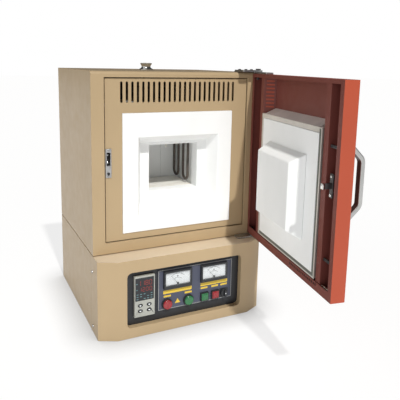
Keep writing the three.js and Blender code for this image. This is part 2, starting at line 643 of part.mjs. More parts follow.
function catchBody() {
  const back = PANEL_Y[0] - GAP;
  const flange = block(span(CATCH_X, CATCH_FLANGE.width), [back - CATCH_FLANGE.t, back], CATCH_FLANGE.z);
  const housing = block(span(CATCH_X, CATCH_HOUSING.width), [PANEL_Y[0] - 1, FRONT + 20],
    span(CATCH_Z, CATCH_HOUSING.height));
  const pocket = block(span(CATCH_X, CATCH_POCKET.width), [FRONT, FRONT + CATCH_POCKET.deep],
    span(CATCH_Z, CATCH_POCKET.height));
  const switchHole = prism('y', circle(CATCH_X, SWITCH_Z, PLUNGER.r + HOLE_FIT, 10), [FRONT, FRONT + 5]);
  return build([flange, housing], [pocket, switchHole]);
}

function catchBall(side) {
  const profile = arc(0, CATCH_Z + side * BALL.offset, BALL.r, -90, 90, 6);
  return turnedZ(CATCH_X, BALL.y, profile, 12);
}

place('catch_body', catchBody(), ZINC);
place('catch_ball_upper', catchBall(1), STEEL);
place('catch_ball_lower', catchBall(-1), STEEL);
place('door_switch_plunger', turnedY(CATCH_X, SWITCH_Z, [
  [0, FRONT - 2.2], [PLUNGER.r - 0.6, FRONT - 2.2], [PLUNGER.r, FRONT - 1], [PLUNGER.r, FRONT + 16],
  [0, FRONT + 16]], 12), BLACK);

// ---- door, drawn closed and then swung open about its hinge -------------------------------------
const DOOR_INNER = FRONT - DOOR_GAP;
const DOOR_OUTER = DOOR_INNER - DOOR_T;
const PIVOT_X = PIVOT[0];
const PIVOT_Y = FRONT + PIVOT[1];
const PIN_R = 3.5;
const LIP = { free: 12, hinge: 8, top: 8, bottom: 17.5 };
const COMB = { from: -142, to: -36, count: 16, width: 3.4, z: [9.5, 15] }; // vents in the lower lip

const door = new THREE.Group();
door.position.set(PIVOT_X, PIVOT_Y, 0);
door.rotation.z = THREE.MathUtils.degToRad(DOOR_OPEN);
kiln.add(door);

function placeOnDoor(name, geometry, material) {
  const mesh = place(name, geometry, material, door);
  mesh.position.set(-PIVOT_X, -PIVOT_Y, 0);
}

function doorShell() {
  const [x0, x1] = DOOR_X;
  const [z0, z1] = DOOR_Z;
  const chamfer = 1.5;
  const plan = [[x0, DOOR_INNER], [x0, DOOR_OUTER + chamfer], [x0 + chamfer, DOOR_OUTER],
    [x1 - chamfer, DOOR_OUTER], [x1, DOOR_OUTER + chamfer], [x1, DOOR_INNER]];
  const cuts = [
    block(grow(DOOR_X, -SHEET), [DOOR_OUTER + SHEET + 1, DOOR_INNER - SHEET], grow(DOOR_Z, -SHEET)),
    block([x0 + LIP.free, x1 - LIP.hinge], [DOOR_INNER - SHEET - 1, DOOR_INNER + 1],
      [z0 + LIP.bottom, z1 - LIP.top]),
    prism('z', circle(PIVOT_X, PIVOT_Y, PIN_R + GAP, 12), [z0 - 1, z1 + 1]),
  ];
  const combZ = COMB.z.map((rise) => z0 + rise);
  for (const x of spread(COMB.from, COMB.to, COMB.count)) {
    cuts.push(block(span(x, COMB.width), [DOOR_INNER - SHEET - 1, DOOR_INNER + 1], combZ));
  }
  return build([prism('z', plan, DOOR_Z)], cuts);
}

const RIB_Y = [DOOR_OUTER + SHEET + 1 + GAP, DOOR_INNER - SHEET - GAP];
const RIB_Z = grow(DOOR_Z, -SHEET - GAP);
const RIB_T = 1.5;

const LOUVRE = { from: 512, to: 570, count: 8, height: 4, y: [RIB_Y[0] + 3, RIB_Y[1] - 4] };

// An upright channel, open towards the door's outer skin, with its inner wall leaning inwards.
// The louvres are in the hinge side's.
function rib(side, louvres) {
  const [inner, outer] = RIB_X;
  const flange = RIB_Y[1] - RIB_T;
  const plan = [
    [inner - PAN_TAPER, RIB_Y[0]], [inner - PAN_TAPER + RIB_T, RIB_Y[0]], [inner + RIB_T, flange],
    [outer - RIB_T, flange], [outer - RIB_T, RIB_Y[0]], [outer, RIB_Y[0]],
    [outer, RIB_Y[1]], [inner, RIB_Y[1]],
  ].map(([x, y]) => [side * x, y]);
  const channel = prism('z', side > 0 ? plan : plan.reverse(), RIB_Z);
  if (!louvres) return channel;
  const wall = [inner - PAN_TAPER - 1, inner + RIB_T + 1];
  return build([channel], spread(LOUVRE.from, LOUVRE.to, LOUVRE.count).map(
    (z) => block(wall, LOUVRE.y, span(z, LOUVRE.height))));
}

const TRAY_Y = [RIB_Y[0], DOOR_INNER + 0.5];
const TRAY_HALF = PLUG_W / 2;
const RIM = 10;
const COVER_RISE = 12;        // the tray's sloping top, at its back edge

// The tray's plan, drawn in by a margin; it narrows towards the door's skin.
function trayPlan(margin) {
  const front = TRAY_HALF - margin;
  const back = front - PAN_TAPER;
  const y = grow(TRAY_Y, -margin);
  return [[-back, y[0]], [back, y[0]], [front, y[1]], [-front, y[1]]];
}

function plugTray() {
  const top = PLUG_Z[1];
  const y = TRAY_Y;
  const coverX = grow([-TRAY_HALF, TRAY_HALF], -PAN_TAPER);
  const cover = prism('x', [[y[0], top - 1], [y[1], top - 1], [y[1], top], [y[0], top + COVER_RISE]], coverX);
  const under = prism('x', [[y[0] - 1, top], [y[1] - 9, top], [y[0] - 1, top + COVER_RISE - SHEET]],
    grow(coverX, -SHEET));
  return build([prism('z', trayPlan(0), PLUG_Z), cover], [
    under,
    prism('z', trayPlan(SHEET), grow(PLUG_Z, -SHEET)),
    block(grow([-TRAY_HALF, TRAY_HALF], -RIM), [y[1] - SHEET - 1, y[1] + 1], grow(PLUG_Z, -RIM)),
  ]);
}

const SLAB_FACE = TRAY_Y[1] + 1;

function plugSlab() {
  const behind = prism('z', trayPlan(SHEET + GAP), grow(PLUG_Z, -SHEET - GAP));
  const face = block(grow([-TRAY_HALF, TRAY_HALF], -RIM - GAP), [TRAY_Y[0] + 15, SLAB_FACE],
    grow(PLUG_Z, -RIM - GAP));
  return build([behind, face]);
}

const BLOCK_FACE = FRONT + 31;
const BLOCK_BASE = [[-86, 86], [269, 440.5]];
const BLOCK_NOSE = [[-75, 75], [287, 423]];

function plugBlock() {
  return frustum(SLAB_FACE + GAP, BLOCK_BASE, BLOCK_FACE, BLOCK_NOSE);
}

const HANDLE = { z: 402, flat: 36, reach: 35.4, thick: 9, bend: 20, x: [-177, -162.5] };

// A wide strap bent into a bridge: upright between two arms that lean at 45 degrees.
function doorHandle() {
  const { z, flat, reach, thick, bend } = HANDLE;
  const face = DOOR_OUTER - GAP;
  const centre = face - reach + bend;
  const side = (inset) => {
    const turn = arc(centre, z + flat, bend - inset, 180, 135, 5);
    const [y, top] = turn[turn.length - 1];
    return [...turn, [face, top + face - y]];
  };
  const outer = side(0);
  const inner = side(thick).reverse();
  const below = (points) => points.map(([y, height]) => [y, 2 * z - height]).reverse();
  return prism('x', [...outer, ...inner, ...below(inner), ...below(outer)], HANDLE.x);
}

const STRIKER = { plate: [11, 44], tongue: [6, 10], post: 7, rise: 15 };

// The striker: a narrow plate on two posts in the channel, with a tongue for the catch.
function catchTongue() {
  const { plate: [plateW, plateH], tongue: [tongueW, tongueH], post, rise } = STRIKER;
  const plateY = [DOOR_INNER - 7, DOOR_INNER - 5];
  const plate = block(span(CATCH_X, plateW), plateY, span(CATCH_Z, plateH));
  const tongue = block(span(CATCH_X, tongueW), [plateY[0], FRONT + 11], span(CATCH_Z, tongueH));
  const posts = [-rise, rise].map((up) => block(
    span(CATCH_X, post), [RIB_Y[0], plateY[1]], span(CATCH_Z + up, post)));
  return build([plate, tongue, ...posts]);
}

const LEAF_T = 4;
const HINGE = { leafX: [150, 205], leafY: [PIVOT_Y - 8, FRONT + 22], doorLeafFrom: 132, pinIn: 14 };
const pinHole = () => circle(PIVOT_X, PIVOT_Y, PIN_R + GAP, 12);
const doorLeafPlan = rounded([HINGE.doorLeafFrom, PIVOT_X + 7], [PIVOT_Y - 12, PIVOT_Y + 7.5], 3, 2);

function cabinetHingeTop() {
  const z = DOOR_Z[1] + GAP + LEAF_T + GAP;
  const leaf = prism('z', rounded(HINGE.leafX, HINGE.leafY, 4, 2), [z, z + LEAF_T], [pinHole()]);
  const pad = block([HINGE.leafX[0], DOOR_X[1]], [FRONT + ROLL_R + 1, HINGE.leafY[1]], [TOTAL_H + GAP, z + 1]);
  return build([leaf, pad]);
}

function hingePin(bottom, top, headZ) {
  const head = headZ ? [[6, headZ], [6, headZ + 3], [0, headZ + 3]] : [[0, top]];
  return turnedZ(PIVOT_X, PIVOT_Y, [[0, bottom], [PIN_R, bottom], [PIN_R, headZ ?? top], ...head], 12);
}

const topLeafZ = DOOR_Z[1] + 2 * (GAP + LEAF_T);
const lowLeafZ = BASE_H + GAP;
const lowDoorLeafZ = lowLeafZ + LEAF_T + GAP;

placeOnDoor('door_shell', doorShell(), ORANGE);
placeOnDoor('door_rib_hinge_side', rib(1, true), ORANGE);
placeOnDoor('door_rib_latch_side', rib(-1, false), ORANGE);
placeOnDoor('plug_tray', plugTray(), STEEL);
placeOnDoor('plug_slab', plugSlab(), FIBRE);
placeOnDoor('plug_block', plugBlock(), FIBRE);
placeOnDoor('door_handle', doorHandle(), GREY);
placeOnDoor('catch_tongue', catchTongue(), ZINC);
placeOnDoor('door_hinge_leaf_top',
  prism('z', doorLeafPlan, [DOOR_Z[1] + GAP, DOOR_Z[1] + GAP + LEAF_T], [pinHole()]), ZINC);
placeOnDoor('door_hinge_leaf_bottom',
  prism('z', doorLeafPlan, [lowDoorLeafZ, DOOR_Z[0] - GAP], [pinHole()]), ZINC);
place('cabinet_hinge_leaf_top', cabinetHingeTop(), ZINC);
place('cabinet_hinge_leaf_bottom',
  prism('z', rounded(HINGE.leafX, [PIVOT_Y - 12, FRONT - 2], 4, 2), [lowLeafZ, lowLeafZ + LEAF_T], [pinHole()]),
  ZINC);
place('hinge_pin_top', hingePin(DOOR_Z[1] - HINGE.pinIn, topLeafZ + GAP, topLeafZ + GAP), ZINC);
place('hinge_pin_bottom', hingePin(lowLeafZ + GAP, DOOR_Z[0] + HINGE.pinIn), ZINC);

export default kiln;
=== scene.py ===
# A front-loading electric kiln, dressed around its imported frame.
# Metres. +Z is up, -Y is the front, and the door stands open at rest.
import json
import math

import bmesh
import bpy
from mathutils import Matrix, Vector


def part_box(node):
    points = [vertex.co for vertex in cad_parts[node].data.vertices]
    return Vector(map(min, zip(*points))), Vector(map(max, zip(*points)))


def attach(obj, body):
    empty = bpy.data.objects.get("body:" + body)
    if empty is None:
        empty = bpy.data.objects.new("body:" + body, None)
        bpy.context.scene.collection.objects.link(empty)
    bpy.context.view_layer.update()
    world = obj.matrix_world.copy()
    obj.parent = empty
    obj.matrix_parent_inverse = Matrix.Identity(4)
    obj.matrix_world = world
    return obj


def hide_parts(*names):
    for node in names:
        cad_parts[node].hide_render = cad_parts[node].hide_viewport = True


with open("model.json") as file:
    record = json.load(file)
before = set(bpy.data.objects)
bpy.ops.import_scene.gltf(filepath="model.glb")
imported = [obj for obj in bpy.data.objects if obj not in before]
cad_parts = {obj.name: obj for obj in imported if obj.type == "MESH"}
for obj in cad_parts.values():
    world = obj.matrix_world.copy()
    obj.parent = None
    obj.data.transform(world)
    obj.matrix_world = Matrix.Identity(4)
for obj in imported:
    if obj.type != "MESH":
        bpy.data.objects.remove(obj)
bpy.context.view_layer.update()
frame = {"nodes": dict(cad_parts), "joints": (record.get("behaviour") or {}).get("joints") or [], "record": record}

NODES = frame["nodes"]
JOINTS = {joint["name"]: joint for joint in frame["joints"]}
SLOTS = {part["node"]: part["material_slot"] for part in frame["record"]["subparts"]}
BODIES = {node: body for body, nodes in frame["record"]["behaviour"]["bodies"].items() for node in nodes}
MM = 0.001

# ---- camera, light and floor --------------------------------------------------------------------
CAMERA_AT = (-0.4645, -1.2179, 0.6062)
CAMERA_TURN = -26.19          # degrees: to the right of straight ahead
CAMERA_TILT = -9.47           # downwards
CAMERA_ROLL = 1.16
CAMERA_LENS = 45.3
CAMERA_SHIFT = (0.003, -0.131)

KEY_FROM = Vector((-0.04, -1.0, 1.2))
KEY_POWER = 2.5
KEY_ANGLE = 2.2               # degrees: how soft its shadows are

FLOOR_SIZE = 40.0
FLOOR_ALBEDO = 0.24
FLOOR_GLOW = 0.8
CONTACT = 0.085               # metres: how far the soft shadow round the base reaches
SKY_BRIGHT = 0.78             # the studio's left
SKY_DIM = 0.06                # its right
SKY_AXIS = (-0.93, -0.1, -0.3)
SKY_LOBE = (100, 35)          # degrees off the axis: where the bright part ends, and where it is full
FLAG_AXIS = (-0.35, 1.0, 0.12)  # a darker part of the studio, out of shot to the left
FLAG_LOBE = (62, 34)
FLAG_LEVEL = 0.03
BACKDROP_LEVEL = 1.0          # the plain white that shows behind the kiln


def camera():
    data = bpy.data.cameras.new("camera")
    data.lens = CAMERA_LENS
    data.sensor_width = 36
    data.shift_x, data.shift_y = CAMERA_SHIFT
    item = bpy.data.objects.new("camera", data)
    turn = Matrix.Rotation(math.radians(CAMERA_TURN), 4, "Z")
    tilt = Matrix.Rotation(math.radians(90 + CAMERA_TILT), 4, "X")
    roll = Matrix.Rotation(math.radians(CAMERA_ROLL), 4, "Z")
    item.matrix_world = Matrix.Translation(CAMERA_AT) @ turn @ tilt @ roll
    bpy.context.scene.collection.objects.link(item)
    bpy.context.scene.camera = item


def key_light():
    data = bpy.data.lights.new("key", "SUN")
    data.angle = math.radians(KEY_ANGLE)
    data.energy = KEY_POWER
    data.color = (1.0, 0.985, 0.96)
    item = bpy.data.objects.new("key", data)
    item.location = KEY_FROM.normalized() * 3
    item.rotation_euler = KEY_FROM.to_track_quat("Z", "Y").to_euler()
    bpy.context.scene.collection.objects.link(item)


def lobe(tree, direction, axis, angles, outside, inside):
    """A smooth level round an axis: inside up to the narrow angle, outside beyond the wide one."""
    wide, narrow = angles
    along = tree.nodes.new("ShaderNodeVectorMath")
    along.operation = "DOT_PRODUCT"
    along.inputs[1].default_value = Vector(axis).normalized()
    level = tree.nodes.new("ShaderNodeMapRange")
    level.interpolation_type = "SMOOTHSTEP"
    level.inputs["From Min"].default_value = math.cos(math.radians(wide))
    level.inputs["From Max"].default_value = math.cos(math.radians(narrow))
    level.inputs["To Min"].default_value = outside
    level.inputs["To Max"].default_value = inside
    tree.links.new(direction, along.inputs[0])
    tree.links.new(along.outputs["Value"], level.inputs["Value"])
    return level.outputs["Result"]


def combined(tree, operation, first, second):
    """A Math node over an output and a second one, or a number."""
    node = tree.nodes.new("ShaderNodeMath")
    node.operation = operation
    tree.links.new(first, node.inputs[0])
    if isinstance(second, float):
        node.inputs[1].default_value = second
    else:
        tree.links.new(second, node.inputs[1])
    return node.outputs[0]


def studio():
    world = bpy.data.worlds.new("studio")
    bpy.context.scene.world = world
    world.use_nodes = True
    tree = world.node_tree
    direction = tree.nodes.new("ShaderNodeTexCoord").outputs["Generated"]
    room = lobe(tree, direction, SKY_AXIS, SKY_LOBE, SKY_DIM, SKY_BRIGHT)
    flag = lobe(tree, direction, FLAG_AXIS, FLAG_LOBE, 1.0, FLAG_LEVEL)
    seen = tree.nodes.new("ShaderNodeLightPath").outputs["Is Camera Ray"]
    backdrop = combined(tree, "MULTIPLY", seen, BACKDROP_LEVEL)
    level = combined(tree, "MAXIMUM", combined(tree, "MULTIPLY", room, flag), backdrop)
    tree.links.new(level, tree.nodes["Background"].inputs["Strength"])
    tree.nodes["Background"].inputs["Color"].default_value = (1, 1, 1, 1)
    bpy.context.scene.view_settings.view_transform = "Standard"


def floor():
    mesh = bpy.data.meshes.new("floor")
    half = FLOOR_SIZE / 2
    corners = [(-half, -half, 0), (half, -half, 0), (half, half, 0), (-half, half, 0)]
    mesh.from_pydata(corners, [], [(0, 1, 2, 3)])
    material = blank("floor", roughness=0.9)
    tree = material.node_tree
    feed(material, "Base Color", (FLOOR_ALBEDO, FLOOR_ALBEDO, FLOOR_ALBEDO, 1))
    feed(material, "Emission Color", (1, 1, 1, 1))
    # Painted shadow: the floor's glow fades near the base, by an occlusion test.
    painted_shadow_round_base = tree.nodes.new("ShaderNodeAmbientOcclusion")
    painted_shadow_round_base.inputs["Distance"].default_value = CONTACT
    feed(material, "Emission Strength", combined(tree, "MULTIPLY", painted_shadow_round_base.outputs["AO"], FLOOR_GLOW))
    mesh.materials.append(material)
    item = bpy.data.objects.new("floor", mesh)
    bpy.context.scene.collection.objects.link(item)


# ---- materials ----------------------------------------------------------------------------------
def blank(name, metallic=0.0, roughness=0.5):
    """A Principled material with its node tree, ready for patterns."""
    material = bpy.data.materials.new(name)
    material.use_nodes = True
    feed(material, "Metallic", metallic)
    feed(material, "Roughness", roughness)
    return material


def feed(material, name, value):
    """Sets one of the shader's inputs, to a value or to a node's output."""
    tree = material.node_tree
    socket = tree.nodes["Principled BSDF"].inputs[name]
    if isinstance(value, bpy.types.NodeSocket):
        tree.links.new(value, socket)
    else:
        socket.default_value = value


def noise(material, scale, detail=3.0, stretch=(1, 1, 1), rough=0.5):
    """A noise value from 0 to 1 in the piece's own coordinates; scale is in features per metre."""
    nodes, links = material.node_tree.nodes, material.node_tree.links
    place = nodes.new("ShaderNodeTexCoord")
    mapping = nodes.new("ShaderNodeMapping")
    mapping.inputs["Scale"].default_value = stretch
    texture = nodes.new("ShaderNodeTexNoise")
    texture.inputs["Scale"].default_value = scale
    texture.inputs["Detail"].default_value = detail
    texture.inputs["Roughness"].default_value = rough
    links.new(place.outputs["Object"], mapping.inputs["Vector"])
    links.new(mapping.outputs["Vector"], texture.inputs["Vector"])
    return texture.outputs["Fac"]


def spread(material, value, low, high, start=0.3, end=0.7):
    """Maps a noise value onto a range."""
    node = material.node_tree.nodes.new("ShaderNodeMapRange")
    node.inputs["From Min"].default_value = start
    node.inputs["From Max"].default_value = end
    node.inputs["To Min"].default_value = low
    node.inputs["To Max"].default_value = high
    material.node_tree.links.new(value, node.inputs["Value"])
    return node.outputs["Result"]


def tint(material, value, first, second):
    """Mixes two colours, or two colour outputs, by a value."""
    node = material.node_tree.nodes.new("ShaderNodeMix")
    node.data_type = "RGBA"
    material.node_tree.links.new(value, node.inputs["Factor"])
    for name, colour in (("A", first), ("B", second)):
        if isinstance(colour, tuple):
            node.inputs[name].default_value = (*colour, 1)
        else:
            material.node_tree.links.new(colour, node.inputs[name])
    return node.outputs["Result"]


def mottle(material, value, colour, low, high):
    """The base colour, between two shades of one colour by a value."""
    feed(material, "Base Color", tint(material, value, shade(colour, low), shade(colour, high)))


def bumped(material, value, depth):
    """Raises the surface by a value; depth is in metres."""
    node = material.node_tree.nodes.new("ShaderNodeBump")
    node.inputs["Strength"].default_value = 1.0
    node.inputs["Distance"].default_value = depth
    material.node_tree.links.new(value, node.inputs["Height"])
    feed(material, "Normal", node.outputs["Normal"])


def shade(colour, factor):
    return tuple(channel * factor for channel in colour)


# The top's darker colour is painted shade, mixed with a little grey dust; the dust also makes the top rougher.
DUST_AND_SHADE_GREY = (0.02, 0.03, 0.04)
TOP_SHADE_LEVELS = (0.6, 0.66)    # how much of the coat's own colour still shows
DUSTY_SHADED_FROM = 0.56             # metres up
DUSTY_ROUGHER = 0.45


# Darkens a colour as painted shade and adds a little grey dust.
def dusty_and_shaded(colour, level):
    return tuple(level * channel + dust for channel, dust in zip(colour, DUST_AND_SHADE_GREY))


def dusty_shaded_top(material):
    """1 on the faces that look straight up at the kiln's top, 0 on the others: where the coat gets dust and
    painted shade.
    """
    nodes, links = material.node_tree.nodes, material.node_tree.links
    surface = nodes.new("ShaderNodeNewGeometry")
    factors = []
    for output, start, end in (("True Normal", 0.8, 0.98), ("Position", DUSTY_SHADED_FROM, DUSTY_SHADED_FROM + 0.01)):
        parts = nodes.new("ShaderNodeSeparateXYZ")
        links.new(surface.outputs[output], parts.inputs[0])
        factors.append(spread(material, parts.outputs["Z"], 0, 1, start, end))
    return combined(material.node_tree, "MULTIPLY", *factors)


def enamel(name, colour, low=0.32, high=0.43):
    """Powder coat: a fine orange-peel surface, uneven in tone and gloss; on top, rougher with dust and darker with
    painted shade.
    """
    material = blank(name)
    tone = spread(material, noise(material, 9, 2), 0, 1)
    clean = tint(material, tone, shade(colour, 0.975), shade(colour, 1.02))
    film = spread(material, noise(material, 5, 3), 0, 1)
    # Painted shade on the kiln's top: the coat darkened, with a grey dust tint.
    dusty_shaded = tint(material, film, *(dusty_and_shaded(colour, level) for level in TOP_SHADE_LEVELS))
    top = dusty_shaded_top(material)
    feed(material, "Base Color", tint(material, top, clean, dusty_shaded))
    gloss = spread(material, noise(material, 45, 4), low, high)
    rougher = spread(material, top, 0, DUSTY_ROUGHER, 0, 1)
    feed(material, "Roughness", combined(material.node_tree, "ADD", gloss, rougher))
    feed(material, "Specular IOR Level", 0.28)
    bumped(material, noise(material, 620, 1.5), 0.00003)
    return material


def fibre_board(name):
    """Vacuum-formed ceramic fibre: chalky white, with fine fibres and faint grey smudges."""
    material = blank(name, roughness=0.95)
    smudge = spread(material, noise(material, 16, 5, (1, 1, 0.45)), 0, 1, 0.35, 0.75)
    feed(material, "Base Color", tint(material, smudge, (0.975, 0.985, 0.98), (0.925, 0.94, 0.93)))
    bumped(material, noise(material, 420, 6, (1, 1, 0.35), 0.7), 0.00022)
    feed(material, "Specular IOR Level", 0.2)
    return material


def alumina(name):
    """Fired alumina: smooth and cream-white, with faint firing stains."""
    material = blank(name, roughness=0.6)
    stain = spread(material, noise(material, 30, 4), 0, 1, 0.45, 0.8)
    feed(material, "Base Color", tint(material, stain, (0.90, 0.88, 0.82), (0.80, 0.75, 0.65)))
    bumped(material, noise(material, 900, 3), 0.00006)
    return material


def silicide(name):
    """Glazed heating rod: near black, with a patchy glassy skin."""
    material = blank(name)
    patch = spread(material, noise(material, 120, 4), 0, 1)
    feed(material, "Base Color", tint(material, patch, (0.045, 0.035, 0.03), (0.105, 0.08, 0.062)))
    feed(material, "Roughness", spread(material, noise(material, 260, 3), 0.28, 0.55))
    bumped(material, noise(material, 700, 3), 0.00008)
    return material


def brushed(name, colour, along, low, high):
    """Metal with fine parallel brush lines; along is the axis that they run along."""
    material = blank(name, metallic=1.0)
    stretch = tuple(0.02 if axis == along else 1 for axis in "xyz")
    lines = noise(material, 1500, 4, stretch, 0.6)
    mottle(material, spread(material, noise(material, 25, 3), 0, 1), colour, 0.93, 1.05)
    feed(material, "Roughness", spread(material, lines, low, high))
    bumped(material, lines, 0.00002)
    return material


def dull_steel(name, colour):
    """Heat-dulled steel sheet: faint rolling lines, cloudy patches and a soft sheen."""
    material = blank(name, metallic=0.2)
    patch = spread(material, noise(material, 14, 5, (1, 1, 0.5)), 0, 1)
    mottle(material, patch, colour, 0.82, 1.08)
    lines = noise(material, 900, 4, (1, 1, 0.03), 0.6)
    feed(material, "Roughness", spread(material, lines, 0.42, 0.58))
    bumped(material, lines, 0.00002)
    return material


def chrome(name, colour):
    """Bright plated metal with a few fine wipe marks."""
    material = blank(name, metallic=1.0)
    feed(material, "Base Color", (*colour, 1))
    feed(material, "Roughness", spread(material, noise(material, 400, 4, (1, 1, 0.1)), 0.1, 0.22))
    return material


def zinc(name, colour):
    """Zinc plate: blotchy, with a fine crystalline gloss."""
    material = blank(name, metallic=1.0)
    nodes, links = material.node_tree.nodes, material.node_tree.links
    place = nodes.new("ShaderNodeTexCoord")
    cells = nodes.new("ShaderNodeTexVoronoi")
    cells.inputs["Scale"].default_value = 260
    links.new(place.outputs["Object"], cells.inputs["Vector"])
    mottle(material, spread(material, cells.outputs["Distance"], 0, 1, 0.1, 0.7), colour, 0.82, 1.08)
    feed(material, "Roughness", spread(material, noise(material, 180, 3), 0.26, 0.46))
    return material


def plastic(name, colour, roughness):
    """Moulded plastic with a fine spark-eroded grain."""
    material = blank(name)
    mottle(material, spread(material, noise(material, 40, 3), 0, 1), colour, 0.92, 1.08)
    feed(material, "Roughness", spread(material, noise(material, 90, 3), roughness - 0.05, roughness + 0.06))
    bumped(material, noise(material, 2200, 2), 0.00003)
    return material


def cap(name, colour):
    """Glossy button cap: dyed, slightly translucent plastic under a clear skin."""
    material = blank(name)
    mottle(material, spread(material, noise(material, 150, 2), 0, 1), colour, 0.85, 1.12)
    feed(material, "Roughness", spread(material, noise(material, 300, 2), 0.22, 0.32))
    feed(material, "Coat Weight", 0.7)
    feed(material, "Coat Roughness", 0.06)
    return material


def card(name, colour, roughness=0.7):
    """Printed card or film, with a slight paper tone."""
    material = blank(name, roughness=roughness)
    mottle(material, spread(material, noise(material, 260, 4), 0, 1), colour, 0.96, 1.03)
    return material


def laminations(name):
    """Transformer iron: thin stacked sheets under brown varnish."""
    material = blank(name, metallic=0.6, roughness=0.5)
    nodes, links = material.node_tree.nodes, material.node_tree.links
    place = nodes.new("ShaderNodeTexCoord")
    sheets = nodes.new("ShaderNodeTexWave")
    sheets.bands_direction = "Y"
    sheets.inputs["Scale"].default_value = 320
    sheets.inputs["Distortion"].default_value = 0.4
    links.new(place.outputs["Object"], sheets.inputs["Vector"])
    feed(material, "Base Color", tint(material, sheets.outputs["Fac"], (0.16, 0.10, 0.06), (0.30, 0.21, 0.14)))
    bumped(material, sheets.outputs["Fac"], 0.0001)
    return material


def glass(name):
    """A thin clear window: a faint gloss over what is behind it."""
    material = blank(name)
    feed(material, "Base Color", (0.5, 0.52, 0.53, 1))
    feed(material, "Roughness", spread(material, noise(material, 60, 3), 0.02, 0.06))
    feed(material, "Alpha", 0.1)
    return material


def lit(name, colour, strength):
    """A lit segment of a display."""
    material = blank(name, roughness=0.4)
    feed(material, "Base Color", (*shade(colour, 0.6), 1))
    feed(material, "Emission Color", (*colour, 1))
    feed(material, "Emission Strength", strength)
    return material


BEIGE = (0.495, 0.368, 0.216)
ORANGE = (0.475, 0.086, 0.041)
FINISH = {
    "beige_enamel": enamel("beige_enamel", BEIGE),
    "orange_enamel": enamel("orange_enamel", ORANGE),
    "fibre_board": fibre_board("fibre_board"),
    "alumina": alumina("alumina"),
    "element": silicide("element"),
    "stainless_steel": dull_steel("stainless_steel", (0.68, 0.645, 0.59)),
    "zinc_plate": zinc("zinc_plate", (0.50, 0.50, 0.50)),
    "handle_alloy": brushed("handle_alloy", (0.56, 0.56, 0.55), "z", 0.3, 0.42),
    "black_plastic": plastic("black_plastic", (0.022, 0.024, 0.028), 0.42),
    "grey_plastic": plastic("grey_plastic", (0.42, 0.43, 0.39), 0.45),
    "slate_plate": enamel("slate_plate", (0.085, 0.094, 0.135)),
    "needle_black": plastic("needle_black", (0.02, 0.02, 0.02), 0.5),
    "red_button": cap("red_button", (0.30, 0.007, 0.013)),
    "green_button": cap("green_button", (0.009, 0.16, 0.045)),
    "transformer_iron": laminations("transformer_iron"),
    "meter_glass": glass("meter_glass"),
    "meter_dial": card("meter_dial", (0.90, 0.94, 0.96)),
    "yellow_strip": card("yellow_strip", (0.80, 0.56, 0.06), 0.45),
    "display_red": lit("display_red", (0.42, 0.05, 0.04), 0.16),
    "display_green": lit("display_green", (0.16, 0.30, 0.32), 0.25),
}
# Finishes that show only on some faces or fittings.
# Painted shade: a darker orange for the door's inside, where its recess lies in shade.
DOOR_INSIDE_SHADED = enamel("orange_enamel_inside_shaded", (0.20, 0.057, 0.045), 0.42, 0.55)
# Bright plate: real plating, and also the painted highlight of the door channel's tab.
BRIGHT = chrome("bright_plate", (0.78, 0.78, 0.76))
# Dark plate: the colour of real dark parts, and also painted shade in slits, pockets and behind slots.
DARK_PLATE = plastic("dark_plate", (0.05, 0.045, 0.045), 0.38)
SEAL = card("seal_cord", (0.15, 0.155, 0.135), 0.8)
# Painted light: a paler steel for the plug tray's upward faces.
TRAY_TOP_PAINTED_LIGHT = dull_steel("steel_painted_light", (0.95, 0.90, 0.85))
# Painted light: a paler beige for the base's top faces, which catch more light.
PAINTED_LIGHT_SHELF = enamel("beige_enamel_painted_light", (0.69, 0.57, 0.415), 0.5, 0.6)

# ---- shape helpers ------------------------------------------------------------------------------
WELD = 0.01 * MM
FLAT_WITHIN = math.radians(0.4)
SHARP_FROM = math.radians(32)
ROUNDED_FROM = math.radians(30)


def finished(work, name, slot, body, replaces=(), smooth=True, finish=None):
    """Turns a bmesh into a piece in a record's finish, or a special one, that rides on a body."""
    bmesh.ops.recalc_face_normals(work, faces=work.faces)
    mesh = bpy.data.meshes.new(name)
    work.to_mesh(mesh)
    work.free()
    mesh.materials.append(finish or FINISH[slot])
    if smooth:
        mesh.shade_smooth()
        mesh.set_sharp_from_angle(angle=SHARP_FROM)
    item = bpy.data.objects.new(name, mesh)
    bpy.context.scene.collection.objects.link(item)
    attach(item, body)
    if replaces:
        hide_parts(*replaces)
    return item


def second_finish(item, finish, chosen):
    """Gives a piece's faces a further finish, where a test of their centre and normal holds."""
    item.data.materials.append(finish)
    index = len(item.data.materials) - 1
    for face in item.data.polygons:
        if chosen(face.center, face.normal):
            face.material_index = index


def soften(work, width, segments=2, edges=None):
    """Rounds the given edges, or all the sharp ones."""
    chosen = edges or [e for e in work.edges if len(e.link_faces) == 2 and e.calc_face_angle(0) > ROUNDED_FROM]
    bmesh.ops.bevel(work, geom=chosen, offset=width, offset_type="OFFSET", segments=segments,
                    profile=0.5, affect="EDGES", clamp_overlap=True)


def whole(node):
    """A CAD node as a bmesh, with each flat face in one piece again."""
    work = bmesh.new()
    work.from_mesh(NODES[node].data)
    bmesh.ops.remove_doubles(work, verts=work.verts, dist=WELD)
    bmesh.ops.dissolve_limit(work, angle_limit=FLAT_WITHIN, verts=work.verts, edges=work.edges)
    return work


def refined(node, width, segments=2):
    """A finer piece in a CAD node's place: the same solid with its edges rounded."""
    work = whole(node)
    soften(work, width, segments)
    item = finished(work, node + "_finish", SLOTS[node], BODIES[node], [node])
    weighted = item.modifiers.new("flat faces stay flat", "WEIGHTED_NORMAL")
    weighted.keep_sharp = True
    return item


